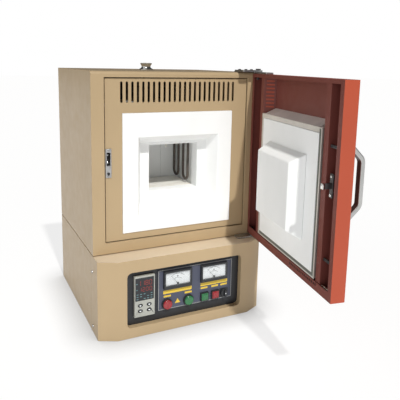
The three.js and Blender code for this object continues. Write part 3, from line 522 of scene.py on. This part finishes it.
def add_box(work, low, high, bevel=0.0, segments=2):
    made = bmesh.ops.create_cube(work, size=1)["verts"]
    size = Vector(high) - Vector(low)
    middle = (Vector(high) + Vector(low)) / 2
    bmesh.ops.transform(work, matrix=Matrix.Translation(middle) @ Matrix.Diagonal((*size, 1)), verts=made)
    if bevel:
        edges = list({edge for vert in made for edge in vert.link_edges})
        soften(work, bevel, segments, edges=edges)


def add_lathe(work, profile, place, sides=48):
    """A round body. The profile lists (radius, height) in metres; place sets its axis and origin."""
    rings = []
    for radius, height in profile:
        if radius < WELD:
            rings.append([work.verts.new(place @ Vector((0, 0, height)))])
            continue
        turn = (2 * math.pi * i / sides for i in range(sides))
        rings.append([work.verts.new(place @ Vector((radius * math.cos(a), radius * math.sin(a), height)))
                      for a in turn])
    for near, far in zip(rings, rings[1:]):
        for i in range(sides):
            j = (i + 1) % sides
            corners = [near[i % len(near)], near[j % len(near)], far[j % len(far)], far[i % len(far)]]
            corners = list(dict.fromkeys(corners))     # a pole's corner comes up twice
            if len(corners) > 2:
                work.faces.new(corners)


def add_prism(work, outline, depth, place):
    """A flat shape from its outline in (x, y), raised by depth along z."""
    low = [work.verts.new(place @ Vector((x, y, 0))) for x, y in outline]
    high = [work.verts.new(place @ Vector((x, y, depth))) for x, y in outline]
    work.faces.new(low[::-1])
    work.faces.new(high)
    for i in range(len(outline)):
        j = (i + 1) % len(outline)
        work.faces.new((low[i], low[j], high[j], high[i]))


def add_tube(work, points, radii, sides=20):
    """A round rod through the points."""
    rings = []
    side = None
    for i, point in enumerate(points):
        ahead = (points[min(i + 1, len(points) - 1)] - points[max(i - 1, 0)]).normalized()
        side = ahead.orthogonal() if side is None else side - ahead * side.dot(ahead)
        side.normalize()
        other = ahead.cross(side)
        turns = (2 * math.pi * k / sides for k in range(sides))
        rings.append([work.verts.new(point + (side * math.cos(a) + other * math.sin(a)) * radii[i])
                      for a in turns])
    for near, far in zip(rings, rings[1:]):
        for k in range(sides):
            m = (k + 1) % sides
            work.faces.new((near[k], near[m], far[m], far[k]))
    work.faces.new(rings[0][::-1])
    work.faces.new(rings[-1])


def metres(points):
    """Points that are given in millimetres."""
    return [(u * MM, v * MM) for u, v in points]


def facing(point, towards):
    """A place whose z axis points towards a direction."""
    return Matrix.Translation(point) @ Vector(towards).to_track_quat("Z", "Y").to_matrix().to_4x4()


def add_screw(work, place, radius, countersunk=False):
    """A cross-recessed screw head on a surface, with its axis along the place's z."""
    rise = radius * (0.12 if countersunk else 0.55)
    rim = radius * (0.92 if countersunk else 0.72)
    add_lathe(work, [(radius * 0.98, -radius * 0.1), (radius, rise * 0.35), (radius * 0.93, rise * 0.75),
                     (rim, rise)], place, 24)
    arm, half, deep = rim * 0.62, rim * 0.16, radius * 0.35
    plus = [(arm, -half), (arm, half), (half, half), (half, arm), (-half, arm), (-half, half),
            (-arm, half), (-arm, -half), (-half, -half), (-half, -arm), (half, -arm), (half, -half)]
    top = [work.verts.new(place @ Vector((x, y, rise))) for x, y in plus]
    low = [work.verts.new(place @ Vector((x * 0.8, y * 0.8, rise - deep))) for x, y in plus]
    edges = []
    for i in range(len(plus)):
        j = (i + 1) % len(plus)
        work.faces.new((top[i], top[j], low[j], low[i]))
        edges.append(work.edges.get((top[i], top[j])))
    work.faces.new(low)
    work.verts.ensure_lookup_table()
    rim_edges = [edge for edge in work.edges if len(edge.link_faces) == 1 and edge not in edges
                 and all(abs((place.inverted() @ v.co).z - rise) < WELD for v in edge.verts)
                 and all((place.inverted() @ v.co).xy.length < radius for v in edge.verts)]
    bmesh.ops.triangle_fill(work, edges=edges + rim_edges, use_beauty=True)


def rounded(width, height, radius, steps=6, middle=(0, 0)):
    """The outline of a rectangle with round corners."""
    points = []
    for cx, cy, start in ((1, -1, -90), (1, 1, 0), (-1, 1, 90), (-1, -1, 180)):
        for i in range(steps + 1):
            a = math.radians(start + 90 * i / steps)
            points.append((middle[0] + cx * (width / 2 - radius) + radius * math.cos(a),
                           middle[1] + cy * (height / 2 - radius) + radius * math.sin(a)))
    return points


def arc(radius, start, end, steps):
    """Points on an arc; angles in degrees from straight up, clockwise."""
    turns = [math.radians(start + (end - start) * i / steps) for i in range(steps + 1)]
    return [(radius * math.sin(a), radius * math.cos(a)) for a in turns]


def on_front(x, y, z):
    """A place on an upright face that looks to the front, with its outline's y upwards."""
    return Matrix(((1, 0, 0, x), (0, 0, -1, y), (0, 1, 0, z), (0, 0, 0, 1)))


HINGE_AT = Vector(JOINTS["door_hinge"]["pos_m"]) * Vector((1, 1, 0))
DOOR_TURN = math.radians(-JOINTS["door_hinge"]["range_deg"][0])
DOOR = Matrix.Translation(HINGE_AT) @ Matrix.Rotation(DOOR_TURN, 4, "Z") @ Matrix.Translation(-HINGE_AT)


DOOR_BACK = DOOR.inverted()


def shut(at, normal):
    """A point and a direction on the open door, moved to where they are with the door shut."""
    return DOOR_BACK @ at, DOOR_BACK.to_3x3() @ normal


def closed_box(node):
    """A door node's box with the door shut."""
    points = [DOOR_BACK @ v.co for v in NODES[node].data.vertices]
    low = Vector(min(p[i] for p in points) for i in range(3))
    high = Vector(max(p[i] for p in points) for i in range(3))
    return low, high


# ---- cabinet ------------------------------------------------------------------------------------
def sheet_metal():
    for node, width in {"upper_casing": 0.9, "front_panel": 0.35, "rear_panel": 0.4, "base_shell": 0.9,
                        "front_fascia": 0.95, "bottom_plate": 0.4, "inner_casing": 0.4}.items():
        item = refined(node, width * MM, 3)
        if node in ("base_shell", "front_fascia"):
            painted_light_shelf(item)


def painted_light_shelf(item):
    """The base's upward faces, painted paler: painted light, as the top catches more light than the front."""
    top = max(vert.co.z for vert in item.data.vertices)
    second_finish(item, PAINTED_LIGHT_SHELF, lambda at, normal: normal.z > 0.85 and at.z > top - 3 * MM)


def top_finish(item, finish, height):
    """Gives the part of a piece above a height a second finish."""
    second_finish(item, finish, lambda at, normal: at.z > height)


def insulation():
    for node in ("front_insulation", "left_insulation", "right_insulation", "roof_insulation",
                 "floor_insulation", "back_insulation"):
        refined(node, (1.3 if node == "front_insulation" else 0.5) * MM, 3)
    refined("hearth_plate", 0.8 * MM, 3)
    refined("terminal_board", 0.5 * MM)
    probe = refined("thermocouple", 0.5 * MM)
    top_finish(probe, DARK_PLATE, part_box("terminal_board")[1].z)


ELEMENT_HOT = 3.2 * MM
ELEMENT_COLD = 4.5 * MM
ELEMENT_COLLAR = 7.5 * MM


def heating_elements():
    """U-shaped rods that hang from the terminal board, thicker where they stay cold."""
    board_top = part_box("terminal_board")[1].z
    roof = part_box("roof_insulation")[0].z
    for number in range(1, 5):
        node = f"heating_element_{number}"
        low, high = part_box(node)
        x = (low.x + high.x) / 2
        front, back = low.y + ELEMENT_COLLAR, high.y - ELEMENT_COLLAR
        bend, middle = (back - front) / 2, (front + back) / 2
        bend_z = low.z + ELEMENT_HOT + bend
        turns = 24
        points, radii = [], []
        leg = [(high.z, ELEMENT_COLD), (roof + 8 * MM, ELEMENT_COLD), (roof + 1 * MM, ELEMENT_HOT),
               (bend_z + 2 * MM, ELEMENT_HOT)]
        for z, radius in leg:
            points.append(Vector((x, front, z)))
            radii.append(radius)
        for i in range(turns + 1):
            a = math.pi * i / turns
            points.append(Vector((x, middle - bend * math.cos(a), bend_z - bend * math.sin(a))))
            radii.append(ELEMENT_HOT)
        for z, radius in reversed(leg):
            points.append(Vector((x, back, z)))
            radii.append(radius)
        work = bmesh.new()
        add_tube(work, points, radii, 20)
        for y in (front, back):
            collar = [(0, 0), (ELEMENT_COLLAR - 0.6 * MM, 0), (ELEMENT_COLLAR, 0.6 * MM),
                      (ELEMENT_COLLAR, 5 * MM), (ELEMENT_COLLAR - 0.6 * MM, 5.6 * MM), (0, 5.6 * MM)]
            add_lathe(work, collar, Matrix.Translation((x, y, board_top + 0.3 * MM)), 24)
        finished(work, node + "_rod", "element", "root", [node])


def rear_shade_baffle():
    """A folded plate behind the rear slots, which keeps heat and sight lines from passing through; its dark finish
    is painted shade for what shows through the slots.
    """
    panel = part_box("rear_panel")[0].y
    back, front = panel - 1 * MM, panel - 13 * MM
    x, z, sheet = 130 * MM, (503 * MM, 566 * MM), 1 * MM
    work = bmesh.new()
    add_box(work, (-x, front, z[0]), (x, front + sheet, z[1]), 0.3 * MM)
    for edge in z:
        add_box(work, (-x, front + sheet, edge - sheet / 2), (x, back, edge + sheet / 2), 0.3 * MM)
    finished(work, "rear_shade_baffle", "zinc_plate", "root", finish=DARK_PLATE)


def exhaust():
    low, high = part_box("exhaust_port")
    x, y = (low.x + high.x) / 2, (low.y + high.y) / 2
    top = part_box("upper_casing")[1].z
    place = Matrix.Translation((x, y, top))
    bore = low.z - top
    sleeve = [(6.5, bore / MM), (10, bore / MM), (10, 0.3), (16.4, 0.3), (17, 0.9), (17, 2.4), (16.2, 3),
              (12.6, 5), (11.4, 6.4), (11, 9), (11.6, 10.6), (14.1, 15), (14.5, 16), (14, 16.8), (13, 17),
              (12.2, 16.2), (9.8, 12.4), (6.5, 8), (6.5, bore / MM)]
    work = bmesh.new()
    add_lathe(work, metres(sleeve), place)
    port = finished(work, "exhaust_port_turned", "stainless_steel", "root", ["exhaust_port"], finish=DARK_PLATE)
    top_finish(port, BRIGHT, top)
    plug = [(0, -16), (5.6, -16), (6.1, -15.4), (6.1, 8.6), (8.3, 12.4), (8.5, 13), (8.5, 17), (8, 17.8),
            (7.4, 18), (0, 18)]
    work = bmesh.new()
    add_lathe(work, metres(plug), place, 40)
    finished(work, "exhaust_plug_turned", "alumina", "exhaust_plug", ["exhaust_plug"])


def base_screws():
    """The two screws that hold the fascia's flange on each side of the base."""
    low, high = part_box("base_shell")
    work = bmesh.new()
    for side in (-1, 1):
        for z in (16 * MM, 145.5 * MM):
            add_screw(work, facing((side * high.x, low.y - 13 * MM, z), (side, 0, 0)), 3.6 * MM)
    finished(work, "fascia_screws", "zinc_plate", "root")


# ---- control panel ------------------------------------------------------------------------------
LABEL = 0.25 * MM             # how thick a label strip is
CAP_PROUD = 3.6 * MM          # how far in front of the plate a button's cap starts
BEZEL_PROUD = 5 * MM
STEM_DEEP = 14 * MM           # how far a button's stem reaches behind the plate


def strip(name, x, z, y, slot, thickness=LABEL, radius=0.5 * MM):
    """A thin plate or label on an upright face, from its limits in x and z."""
    work = bmesh.new()
    middle = ((x[0] + x[1]) / 2, (z[0] + z[1]) / 2)
    add_prism(work, rounded(x[1] - x[0], z[1] - z[0], radius, 4), thickness, on_front(middle[0], y, middle[1]))
    return finished(work, name, slot, "root")


def panel_prints():
    """Plain label strips, a plain triangle and the light line round the instrument plate."""
    low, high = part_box("instrument_plate")
    y = low.y
    strips = {"strip_left": ((-54, 17.5), (83, 91.5)), "strip_right": ((41, 113), (85, 93))}
    tags = [(-44, 77), (9, 77), (50.8, 80), (79.2, 80), (103.6, 80)]     # their middles
    for i, (x, z) in enumerate(tags):
        strips[f"tag_{i + 1}"] = (x - 9, x + 9), (z - 2.2, z + 2.2)
    for name, (x, z) in strips.items():
        strip(name, [v * MM for v in x], [v * MM for v in z], y, "yellow_strip")
    work = bmesh.new()
    triangle = metres([(-6.5, -5), (6.5, -5), (0, 6.2)])
    add_prism(work, triangle, LABEL, on_front(-18 * MM, y, 61 * MM))
    finished(work, "triangle", "yellow_strip", "root")
    work = bmesh.new()
    line, inset = 0.5 * MM, 1.6 * MM
    for x in (low.x + inset, high.x - inset):
        add_box(work, (x - line, y - 0.15 * MM, low.z + inset), (x + line, y, high.z - inset))
    for z in (low.z + inset, high.z - inset):
        add_box(work, (low.x + inset, y - 0.15 * MM, z - line), (high.x - inset, y, z + line))
    finished(work, "plate_line", "grey_plastic", "root", smooth=False)


def button_shape(node):
    low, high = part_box(node)
    return (low.x + high.x) / 2, (low.z + high.z) / 2, low.y, (high.x - low.x) / 2


def round_buttons():
    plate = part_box("instrument_plate")[0].y
    for node, slot in (("off_button", "red_button"), ("on_button", "green_button")):
        x, z, face, radius = button_shape(node)
        back = plate - CAP_PROUD
        place = facing((x, face, z), (0, -1, 0))

        def depth(y):
            return face - y

        dome = [(0, -1.1 * MM), (radius * 0.45, -0.75 * MM), (radius * 0.72, -0.1 * MM), (radius * 0.8, 0),
                (radius * 0.9, -0.35 * MM), (radius, -1.6 * MM), (radius, depth(back)),
                (8 * MM, depth(back)), (8 * MM, depth(plate + STEM_DEEP)), (0, depth(plate + STEM_DEEP))]
        work = bmesh.new()
        add_lathe(work, dome, place)
        finished(work, node + "_cap", slot, node, [node])
        inner, outer, rim = radius + 0.3 * MM, radius + 1.9 * MM, depth(plate - BEZEL_PROUD)
        ring = [(inner, depth(plate)), (outer, depth(plate)), (outer, rim - 1 * MM),
                (outer - 0.6 * MM, rim), (inner, rim), (inner, depth(plate))]
        work = bmesh.new()
        add_lathe(work, ring, place)
        finished(work, node + "_bezel", "black_plastic", "root")


def square_buttons():
    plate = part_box("instrument_plate")[0].y
    for node, slot in (("heat_start_button", "green_button"), ("heat_stop_button", "red_button")):
        x, z, face, half = button_shape(node)
        work = bmesh.new()
        add_prism(work, rounded(2 * half, 2 * half, 1.6 * MM), plate - CAP_PROUD - face - 1.5 * MM,
                  on_front(x, plate - CAP_PROUD, z))
        soften(work, 0.7 * MM, 3)
        stem, crown = 6 * MM, half * 0.72
        add_box(work, (x - stem, plate - 4 * MM, z - stem), (x + stem, plate + STEM_DEEP, z + stem))
        add_box(work, (x - crown, face + 0.5 * MM, z - crown), (x + crown, face + 2.5 * MM, z + crown), 0.5 * MM)
        finished(work, node + "_cap", slot, node, [node])
        work = bmesh.new()
        outer, wall = half + 2 * MM, 1.6 * MM
        rim, inner = plate - BEZEL_PROUD, outer - wall
        for side in (-1, 1):
            near, far = sorted((side * outer, side * inner))
            add_box(work, (x + near, rim, z - outer), (x + far, plate, z + outer), 0.4 * MM)
            add_box(work, (x - inner, rim, z + near), (x + inner, plate, z + far), 0.4 * MM)
        finished(work, node + "_bezel", "black_plastic", "root")


def selector():
    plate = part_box("instrument_plate")[0].y
    x, z, face, _ = button_shape("selector_knob")
    place = facing((x, plate, z), (0, -1, 0))
    work = bmesh.new()
    skirt = [(0, 6.2), (7.6, 6.2), (8.9, 5.4), (9.5, 3.6), (9.5, 0.5), (4, 0.5), (4, -14), (0, -14)]
    add_lathe(work, metres(skirt), place)
    add_prism(work, rounded(5 * MM, 17 * MM, 2.2 * MM), 7 * MM, on_front(x, plate - 5 * MM, z))
    finished(work, "selector_knob_grip", "black_plastic", "selector_knob", ["selector_knob"])
    work = bmesh.new()
    add_prism(work, rounded(2.6 * MM, 2.6 * MM, 1.25 * MM), 0.12 * MM, on_front(x, face, z + 1 * MM))
    finished(work, "selector_mark", "meter_dial", "selector_knob")
    half = 11.5 * MM
    strip("selector_back", (x - half, x + half), (z - half, z + half), plate, "black_plastic", 0.4 * MM, 2 * MM)


def meters():
    for side in ("left", "right"):
        refined(f"meter_{side}_case", 0.7 * MM, 3)
        low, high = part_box(f"meter_{side}_case")
        joint = JOINTS[f"meter_{side}_swing"]
        pivot_x, pivot_z = joint["pos_m"][0], joint["pos_m"][2]
        face = low.y
        dial_y = face + 4.95 * MM
        x = (pivot_x - 31 * MM, pivot_x + 31 * MM)
        z = (high.z - 35 * MM, high.z - 4 * MM)
        strip(f"meter_{side}_dial", x, z, dial_y, "meter_dial", 0.2 * MM, 0.3 * MM)
        marks(f"meter_{side}_scale", pivot_x, dial_y - 0.2 * MM, pivot_z)
        work = bmesh.new()
        add_box(work, (x[0] + 0.2 * MM, face + 0.15 * MM, z[0] + 0.2 * MM),
                (x[1] - 0.2 * MM, face + 0.85 * MM, z[1] - 0.2 * MM))
        finished(work, f"meter_{side}_window", "meter_glass", "root", smooth=False)
        needle(side, pivot_x, pivot_z)
        work = bmesh.new()
        add_screw(work, facing((pivot_x, face, low.z + 3.6 * MM), (0, -1, 0)), 1.9 * MM, True)
        finished(work, f"meter_{side}_zero_screw", "black_plastic", "root")


def needle(side, x, z):
    """A thin pointer on a round hub, at rest at the low end of its scale."""
    low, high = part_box(f"meter_{side}_needle")
    middle = (low.y + high.y) / 2
    place = on_front(x, middle, z) @ Matrix.Rotation(math.radians(SCALE_HALF), 4, "Z")
    work = bmesh.new()
    length = 24.5 * MM
    base, tip = 0.35 * MM, 0.16 * MM
    add_prism(work, [(-base, 0), (base, 0), (tip, length), (-tip, length)], 0.35 * MM, place)
    hub = [(0, -1.2), (2.2, -1.2), (2.5, -0.9), (2.5, 0.8), (2.1, 1.2), (0, 1.3)]
    add_lathe(work, metres(hub), place, 24)
    finished(work, f"meter_{side}_pointer", "needle_black", f"meter_{side}_needle", [f"meter_{side}_needle"])


SCALE_RADIUS = 22.5 * MM
SCALE_HALF = 42               # degrees, from upright to either end


def marks(name, x, y, z):
    """A meter's printed scale: an arc with its ticks, the arc of the hub's cover and a small mark."""
    place = on_front(x, y, z)
    thick = 0.08 * MM
    work = bmesh.new()
    for radius, width, half in ((SCALE_RADIUS, 0.35 * MM, SCALE_HALF), (13 * MM, 0.6 * MM, 52)):
        outline = arc(radius, -half, half, 32) + arc(radius + width, half, -half, 32)
        add_prism(work, outline, thick, place)
    steps = 25
    for i in range(steps + 1):
        angle = -SCALE_HALF + 2 * SCALE_HALF * i / steps
        long = i % 5 == 0
        turn = place @ Matrix.Rotation(math.radians(-angle), 4, "Z")
        width = (0.28 if long else 0.16) * MM
        top = SCALE_RADIUS + (2.4 if long else 1.4) * MM
        tick = [(-width, SCALE_RADIUS), (width, SCALE_RADIUS), (width, top), (-width, top)]
        add_prism(work, tick, thick, turn)
    add_prism(work, rounded(2.6 * MM, 3.2 * MM, 0.8 * MM, middle=(0, 16.5 * MM)), thick, place)
    finished(work, name, "needle_black", "root", smooth=False)


SEGMENTS = {"0": "abcdef", "1": "bc", "2": "abged", "8": "abcdefg"}
PRINT = 0.1 * MM              # how thick the display's segments and lamps are


def add_digit(work, digit, x, y, z, width, height):
    """A seven-segment digit, from its lower left corner."""
    t = width * 0.17
    half = height / 2
    bars = {"a": (t, width - t, height - t, height), "d": (t, width - t, 0, t),
            "g": (t, width - t, half - t / 2, half + t / 2), "f": (0, t, half + t / 2, height - t),
            "e": (0, t, t, half - t / 2), "b": (width - t, width, half + t / 2, height - t),
            "c": (width - t, width, t, half - t / 2)}
    for name in SEGMENTS[digit]:
        u0, u1, v0, v1 = bars[name]
        add_prism(work, [(u0, v0), (u1, v0), (u1, v1), (u0, v1)], PRINT, on_front(x, y, z))


def controller():
    """A panel controller: bezel, dark window with lit digits, and keys in black rings."""
    refined("controller_case", 0.8 * MM, 3)
    low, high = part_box("controller_case")
    face = low.y
    window_y = face + 1.15 * MM
    x = (low.x + 2.2 * MM, high.x - 2.2 * MM)
    z = (low.z + 38.2 * MM, high.z - 4.2 * MM)
    strip("controller_window", x, z, window_y, "black_plastic", 0.5 * MM, 1 * MM)
    y = window_y - 0.5 * MM
    for name, digits, width, height, rise in (("upper", "1180", 6.8, 12, 35), ("lower", "1200", 6.4, 10, 21)):
        pitch = width * 1.3 * MM
        start = high.x - 4.5 * MM - pitch * len(digits)
        work = bmesh.new()
        for i, digit in enumerate(digits):
            add_digit(work, digit, start + i * pitch, y, z[0] + rise * MM, width * MM, height * MM)
        finished(work, f"display_{name}", "display_red", "root", smooth=False)
    work = bmesh.new()
    for row, rise in enumerate((15, 9.5, 4)):
        for i in range(5):
            if (row + i) % 4 == 3:
                continue
            lamp = on_front(x[0] + (5 + 8.3 * i) * MM, y, z[0] + rise * MM)
            add_prism(work, rounded(4.6 * MM, 1.7 * MM, 0.6 * MM), PRINT, lamp)
    for rise in (40, 26):
        lamp = on_front(x[0] + 3.6 * MM, y, z[0] + rise * MM)
        add_prism(work, rounded(3.4 * MM, 2 * MM, 0.8 * MM), PRINT, lamp)
    finished(work, "display_lamps", "display_green", "root", smooth=False)
    for number in range(1, 5):
        node = f"controller_key_{number}"
        key_low, key_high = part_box(node)
        middle = (key_low + key_high) / 2
        size = key_high - key_low
        grow = Matrix.Diagonal((size.x / 2, size.z / 2, MM, 1))
        work = bmesh.new()
        top = on_front(middle.x, key_low.y + 0.25 * MM, middle.z) @ grow
        add_lathe(work, [(0, 0.25), (0.5, 0.2), (0.85, -0.1), (1, -0.5), (1, -6)], top, 36)
        finished(work, node + "_cap", "black_plastic", node, [node])
        work = bmesh.new()
        add_lathe(work, [(0, 0.42), (0.42, 0.38), (0.5, 0.15)], top, 30)
        finished(work, node + "_mark", "meter_dial", node)
        work = bmesh.new()
        ring = [(1.08, 0), (1.34, 0), (1.32, 0.25), (1.1, 0.25), (1.08, 0)]
        add_lathe(work, ring, on_front(middle.x, face, middle.z) @ grow, 36)
        finished(work, node + "_ring", "black_plastic", "root")


# ---- door ---------------------------------------------------------------------------------------
COMB_X = -89 * MM             # the middle of the lower lip's vents
COMB_HALF = 56 * MM
CHANNEL = (-186, -156)        # the upright channel on the latch side, in millimetres


def door_inside_painted_shade(item):
    """Painted shade inside the door: a darker orange coat, and dark walls in the lower lip's vents.

    The darker orange is on every face but the shell's outer skin and folded edges.
    """
    low, high = closed_box("door_shell")
    skin = 1 * MM

    def inside(at, normal):
        at, normal = shut(at, normal)
        inward = (low.x + skin < at.x < high.x - skin and low.z + skin < at.z < high.z - skin
                  and at.y > low.y + skin)
        return inward or normal.y > 0.7

    # Painted shade: the slit walls of the lower lip's vents get the dark plate finish.
    def comb_edge_shade(at, normal):
        at, normal = shut(at, normal)
        return (abs(at.x - COMB_X) < COMB_HALF and high.y - 2.2 * MM < at.y < high.y - 0.15 * MM
                and low.z + 9 * MM < at.z < low.z + 15.5 * MM and abs(normal.y) < 0.5)

    second_finish(item, DOOR_INSIDE_SHADED, inside)
    second_finish(item, DARK_PLATE, comb_edge_shade)


def door_box(work, low, high, bevel=0.0):
    """A box given with the door shut, in millimetres, and placed on the open door."""
    start = set(work.verts)
    add_box(work, [v * MM for v in low], [v * MM for v in high], bevel)
    bmesh.ops.transform(work, matrix=DOOR, verts=[v for v in work.verts if v not in start])


def door_panels():
    door_inside_painted_shade(refined("door_shell", 1.1 * MM, 3))
    for node in ("door_rib_hinge_side", "door_rib_latch_side"):
        door_inside_painted_shade(refined(node, 0.5 * MM))
    tray = refined("plug_tray", 0.55 * MM)
    # Painted light on the tray's upward faces.
    second_finish(tray, TRAY_TOP_PAINTED_LIGHT, lambda at, normal: normal.z > 0.5)
    refined("plug_slab", 1.2 * MM, 3)
    refined("plug_block", 2.2 * MM, 4)


def slab_seal():
    """A dark sealing cord between the slab and the tray's rim, below and on the latch side."""
    low, high = closed_box("plug_tray")
    edge, rim = 3.5, 9.5      # the cord's outer and inner limits, from the tray's edge
    face = (high.y / MM - 1, high.y / MM + 0.2)
    x, z = (low.x / MM, high.x / MM), low.z / MM
    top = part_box("plug_slab")[1].z / MM
    work = bmesh.new()
    door_box(work, (x[0] + edge, face[0], z + edge), (x[0] + rim, face[1], top), 0.4 * MM)
    door_box(work, (x[0] + rim, face[0], z + edge), (x[1] - rim, face[1], z + rim), 0.4 * MM)
    finished(work, "slab_seal", "stainless_steel", "door", finish=SEAL)


def striker():
    """The catch plate with its screws and bright tongue, and two stiffeners across the channel."""
    plate = refined("catch_tongue", 0.5 * MM)
    plate.data.materials[0] = DARK_PLATE
    low, high = closed_box("catch_tongue")
    middle_x, middle_z = (low.x + high.x) / 2 / MM, (low.z + high.z) / 2 / MM
    tip = high.y / MM
    work = bmesh.new()
    door_box(work, (middle_x - 3.2, tip - 5, middle_z - 5.2),
             (middle_x + 3.2, tip + 0.1, middle_z + 5.2), 0.5 * MM)
    for rise in (-17, 17):
        face = DOOR @ Vector((middle_x * MM, tip * MM - 19 * MM, (middle_z + rise) * MM))
        add_screw(work, facing(face, DOOR.to_3x3() @ Vector((0, 1, 0))), 3 * MM)
    finished(work, "striker_fittings", "zinc_plate", "door", finish=BRIGHT)
    work = bmesh.new()
    for z in (258, 468):
        door_box(work, (CHANNEL[0], -186.5, z - 2.7), (CHANNEL[1], -183.5, z + 2.7), 0.4 * MM)
    finished(work, "channel_stiffeners", "black_plastic", "door")


def vent_backings():
    """A dark sheet behind the comb as painted shade, an orange baffle behind the louvres, and the channel's small
    bright tab as a painted highlight.
    """
    low, high = closed_box("door_shell")
    face, bottom = high.y / MM, low.z / MM
    comb = [(COMB_X + side * COMB_HALF) / MM for side in (-1, 1)]
    # Painted shade: a dark sheet behind the comb's slits.
    work = bmesh.new()
    door_box(work, (comb[0], face - 3.2, bottom + 8), (comb[1], face - 2.2, bottom + 16.5), 0.2 * MM)
    finished(work, "comb_shade_backing", "zinc_plate", "door", finish=DARK_PLATE)
    low, high = closed_box("door_rib_hinge_side")
    sheet, lean = 1 * MM, 12 * MM
    start, front = low.x + 2.2 * MM, high.y - 2 * MM
    work = bmesh.new()
    outline = [(start, low.y), (start + sheet, low.y), (start + lean + sheet, front), (start + lean, front)]
    add_prism(work, outline, 70 * MM, DOOR @ Matrix.Translation((0, 0, 506 * MM)))
    finished(work, "louvre_baffle", "orange_enamel", "door", smooth=False)
    # Painted highlight: a small bright tab stands for the light at the channel's foot.
    work = bmesh.new()
    door_box(work, (CHANNEL[0] + 2, face - 6, bottom + 17),
             (CHANNEL[1] - 4, face - 2.6, bottom + 19.6), 0.3 * MM)
    finished(work, "channel_highlight_tab", "zinc_plate", "door", finish=BRIGHT)


def handle():
    """The strap is polished; its inner side is painted dark, as painted shade and a painted dark reflection."""
    low, high = closed_box("door_handle")

    def painted_shade_inner_side(at, normal):
        at, normal = shut(at, normal)
        inner = Vector((0, high.y - at.y, (low.z + high.z) / 2 - at.z))
        return abs(normal.x) < 0.3 and normal.dot(inner) > 0 and normal.y > -0.2 and at.y < high.y - 1 * MM

    second_finish(refined("door_handle", 2.2 * MM, 4), DARK_PLATE, painted_shade_inner_side)


# ---- hinges and catch -----------------------------------------------------------------------------
def hinges():
    for node in ("door_hinge_leaf_top", "door_hinge_leaf_bottom", "cabinet_hinge_leaf_top",
                 "cabinet_hinge_leaf_bottom"):
        refined(node, 0.5 * MM, 2)
    for node in ("hinge_pin_top", "hinge_pin_bottom"):
        NODES[node].data.materials[0] = DARK_PLATE
    work = bmesh.new()
    low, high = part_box("cabinet_hinge_leaf_top")
    for x in (low.x + 10 * MM, (low.x + high.x) / 2, high.x - 12 * MM):
        add_screw(work, facing((x, high.y - 9 * MM, high.z), (0, 0, 1)), 3.6 * MM)
    finished(work, "hinge_screws", "zinc_plate", "root", finish=DARK_PLATE)


def catch():
    """A plated flange round a pocket with painted shade, with two rollers' bright edges and its screws."""
    body = refined("catch_body", 0.35 * MM, 2)
    low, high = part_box("catch_body")
    # Painted shade: the pocket and the faces behind the flange get the dark plate finish.
    second_finish(body, DARK_PLATE, lambda at, normal: at.y > low.y + 1.2 * MM)
    for node in ("catch_ball_upper", "catch_ball_lower"):
        refined(node, 0.2 * MM).data.materials[0] = BRIGHT
    work = bmesh.new()
    for z in (low.z + 3.2 * MM, high.z - 3.2 * MM):
        add_screw(work, facing(((low.x + high.x) / 2, low.y, z), (0, -1, 0)), 2.7 * MM)
    finished(work, "catch_screws", "zinc_plate", "root")


def carried_over():
    """The CAD nodes that stay as they are take their finish here."""
    for node, item in NODES.items():
        item.data.materials.clear()
        item.data.materials.append(FINISH[SLOTS[node]])


camera()
key_light()
studio()
floor()
carried_over()
sheet_metal()
insulation()
heating_elements()
rear_shade_baffle()
exhaust()
base_screws()
panel_prints()
round_buttons()
square_buttons()
selector()
meters()
controller()
door_panels()
slab_seal()
striker()
vent_backings()
handle()
hinges()
catch()
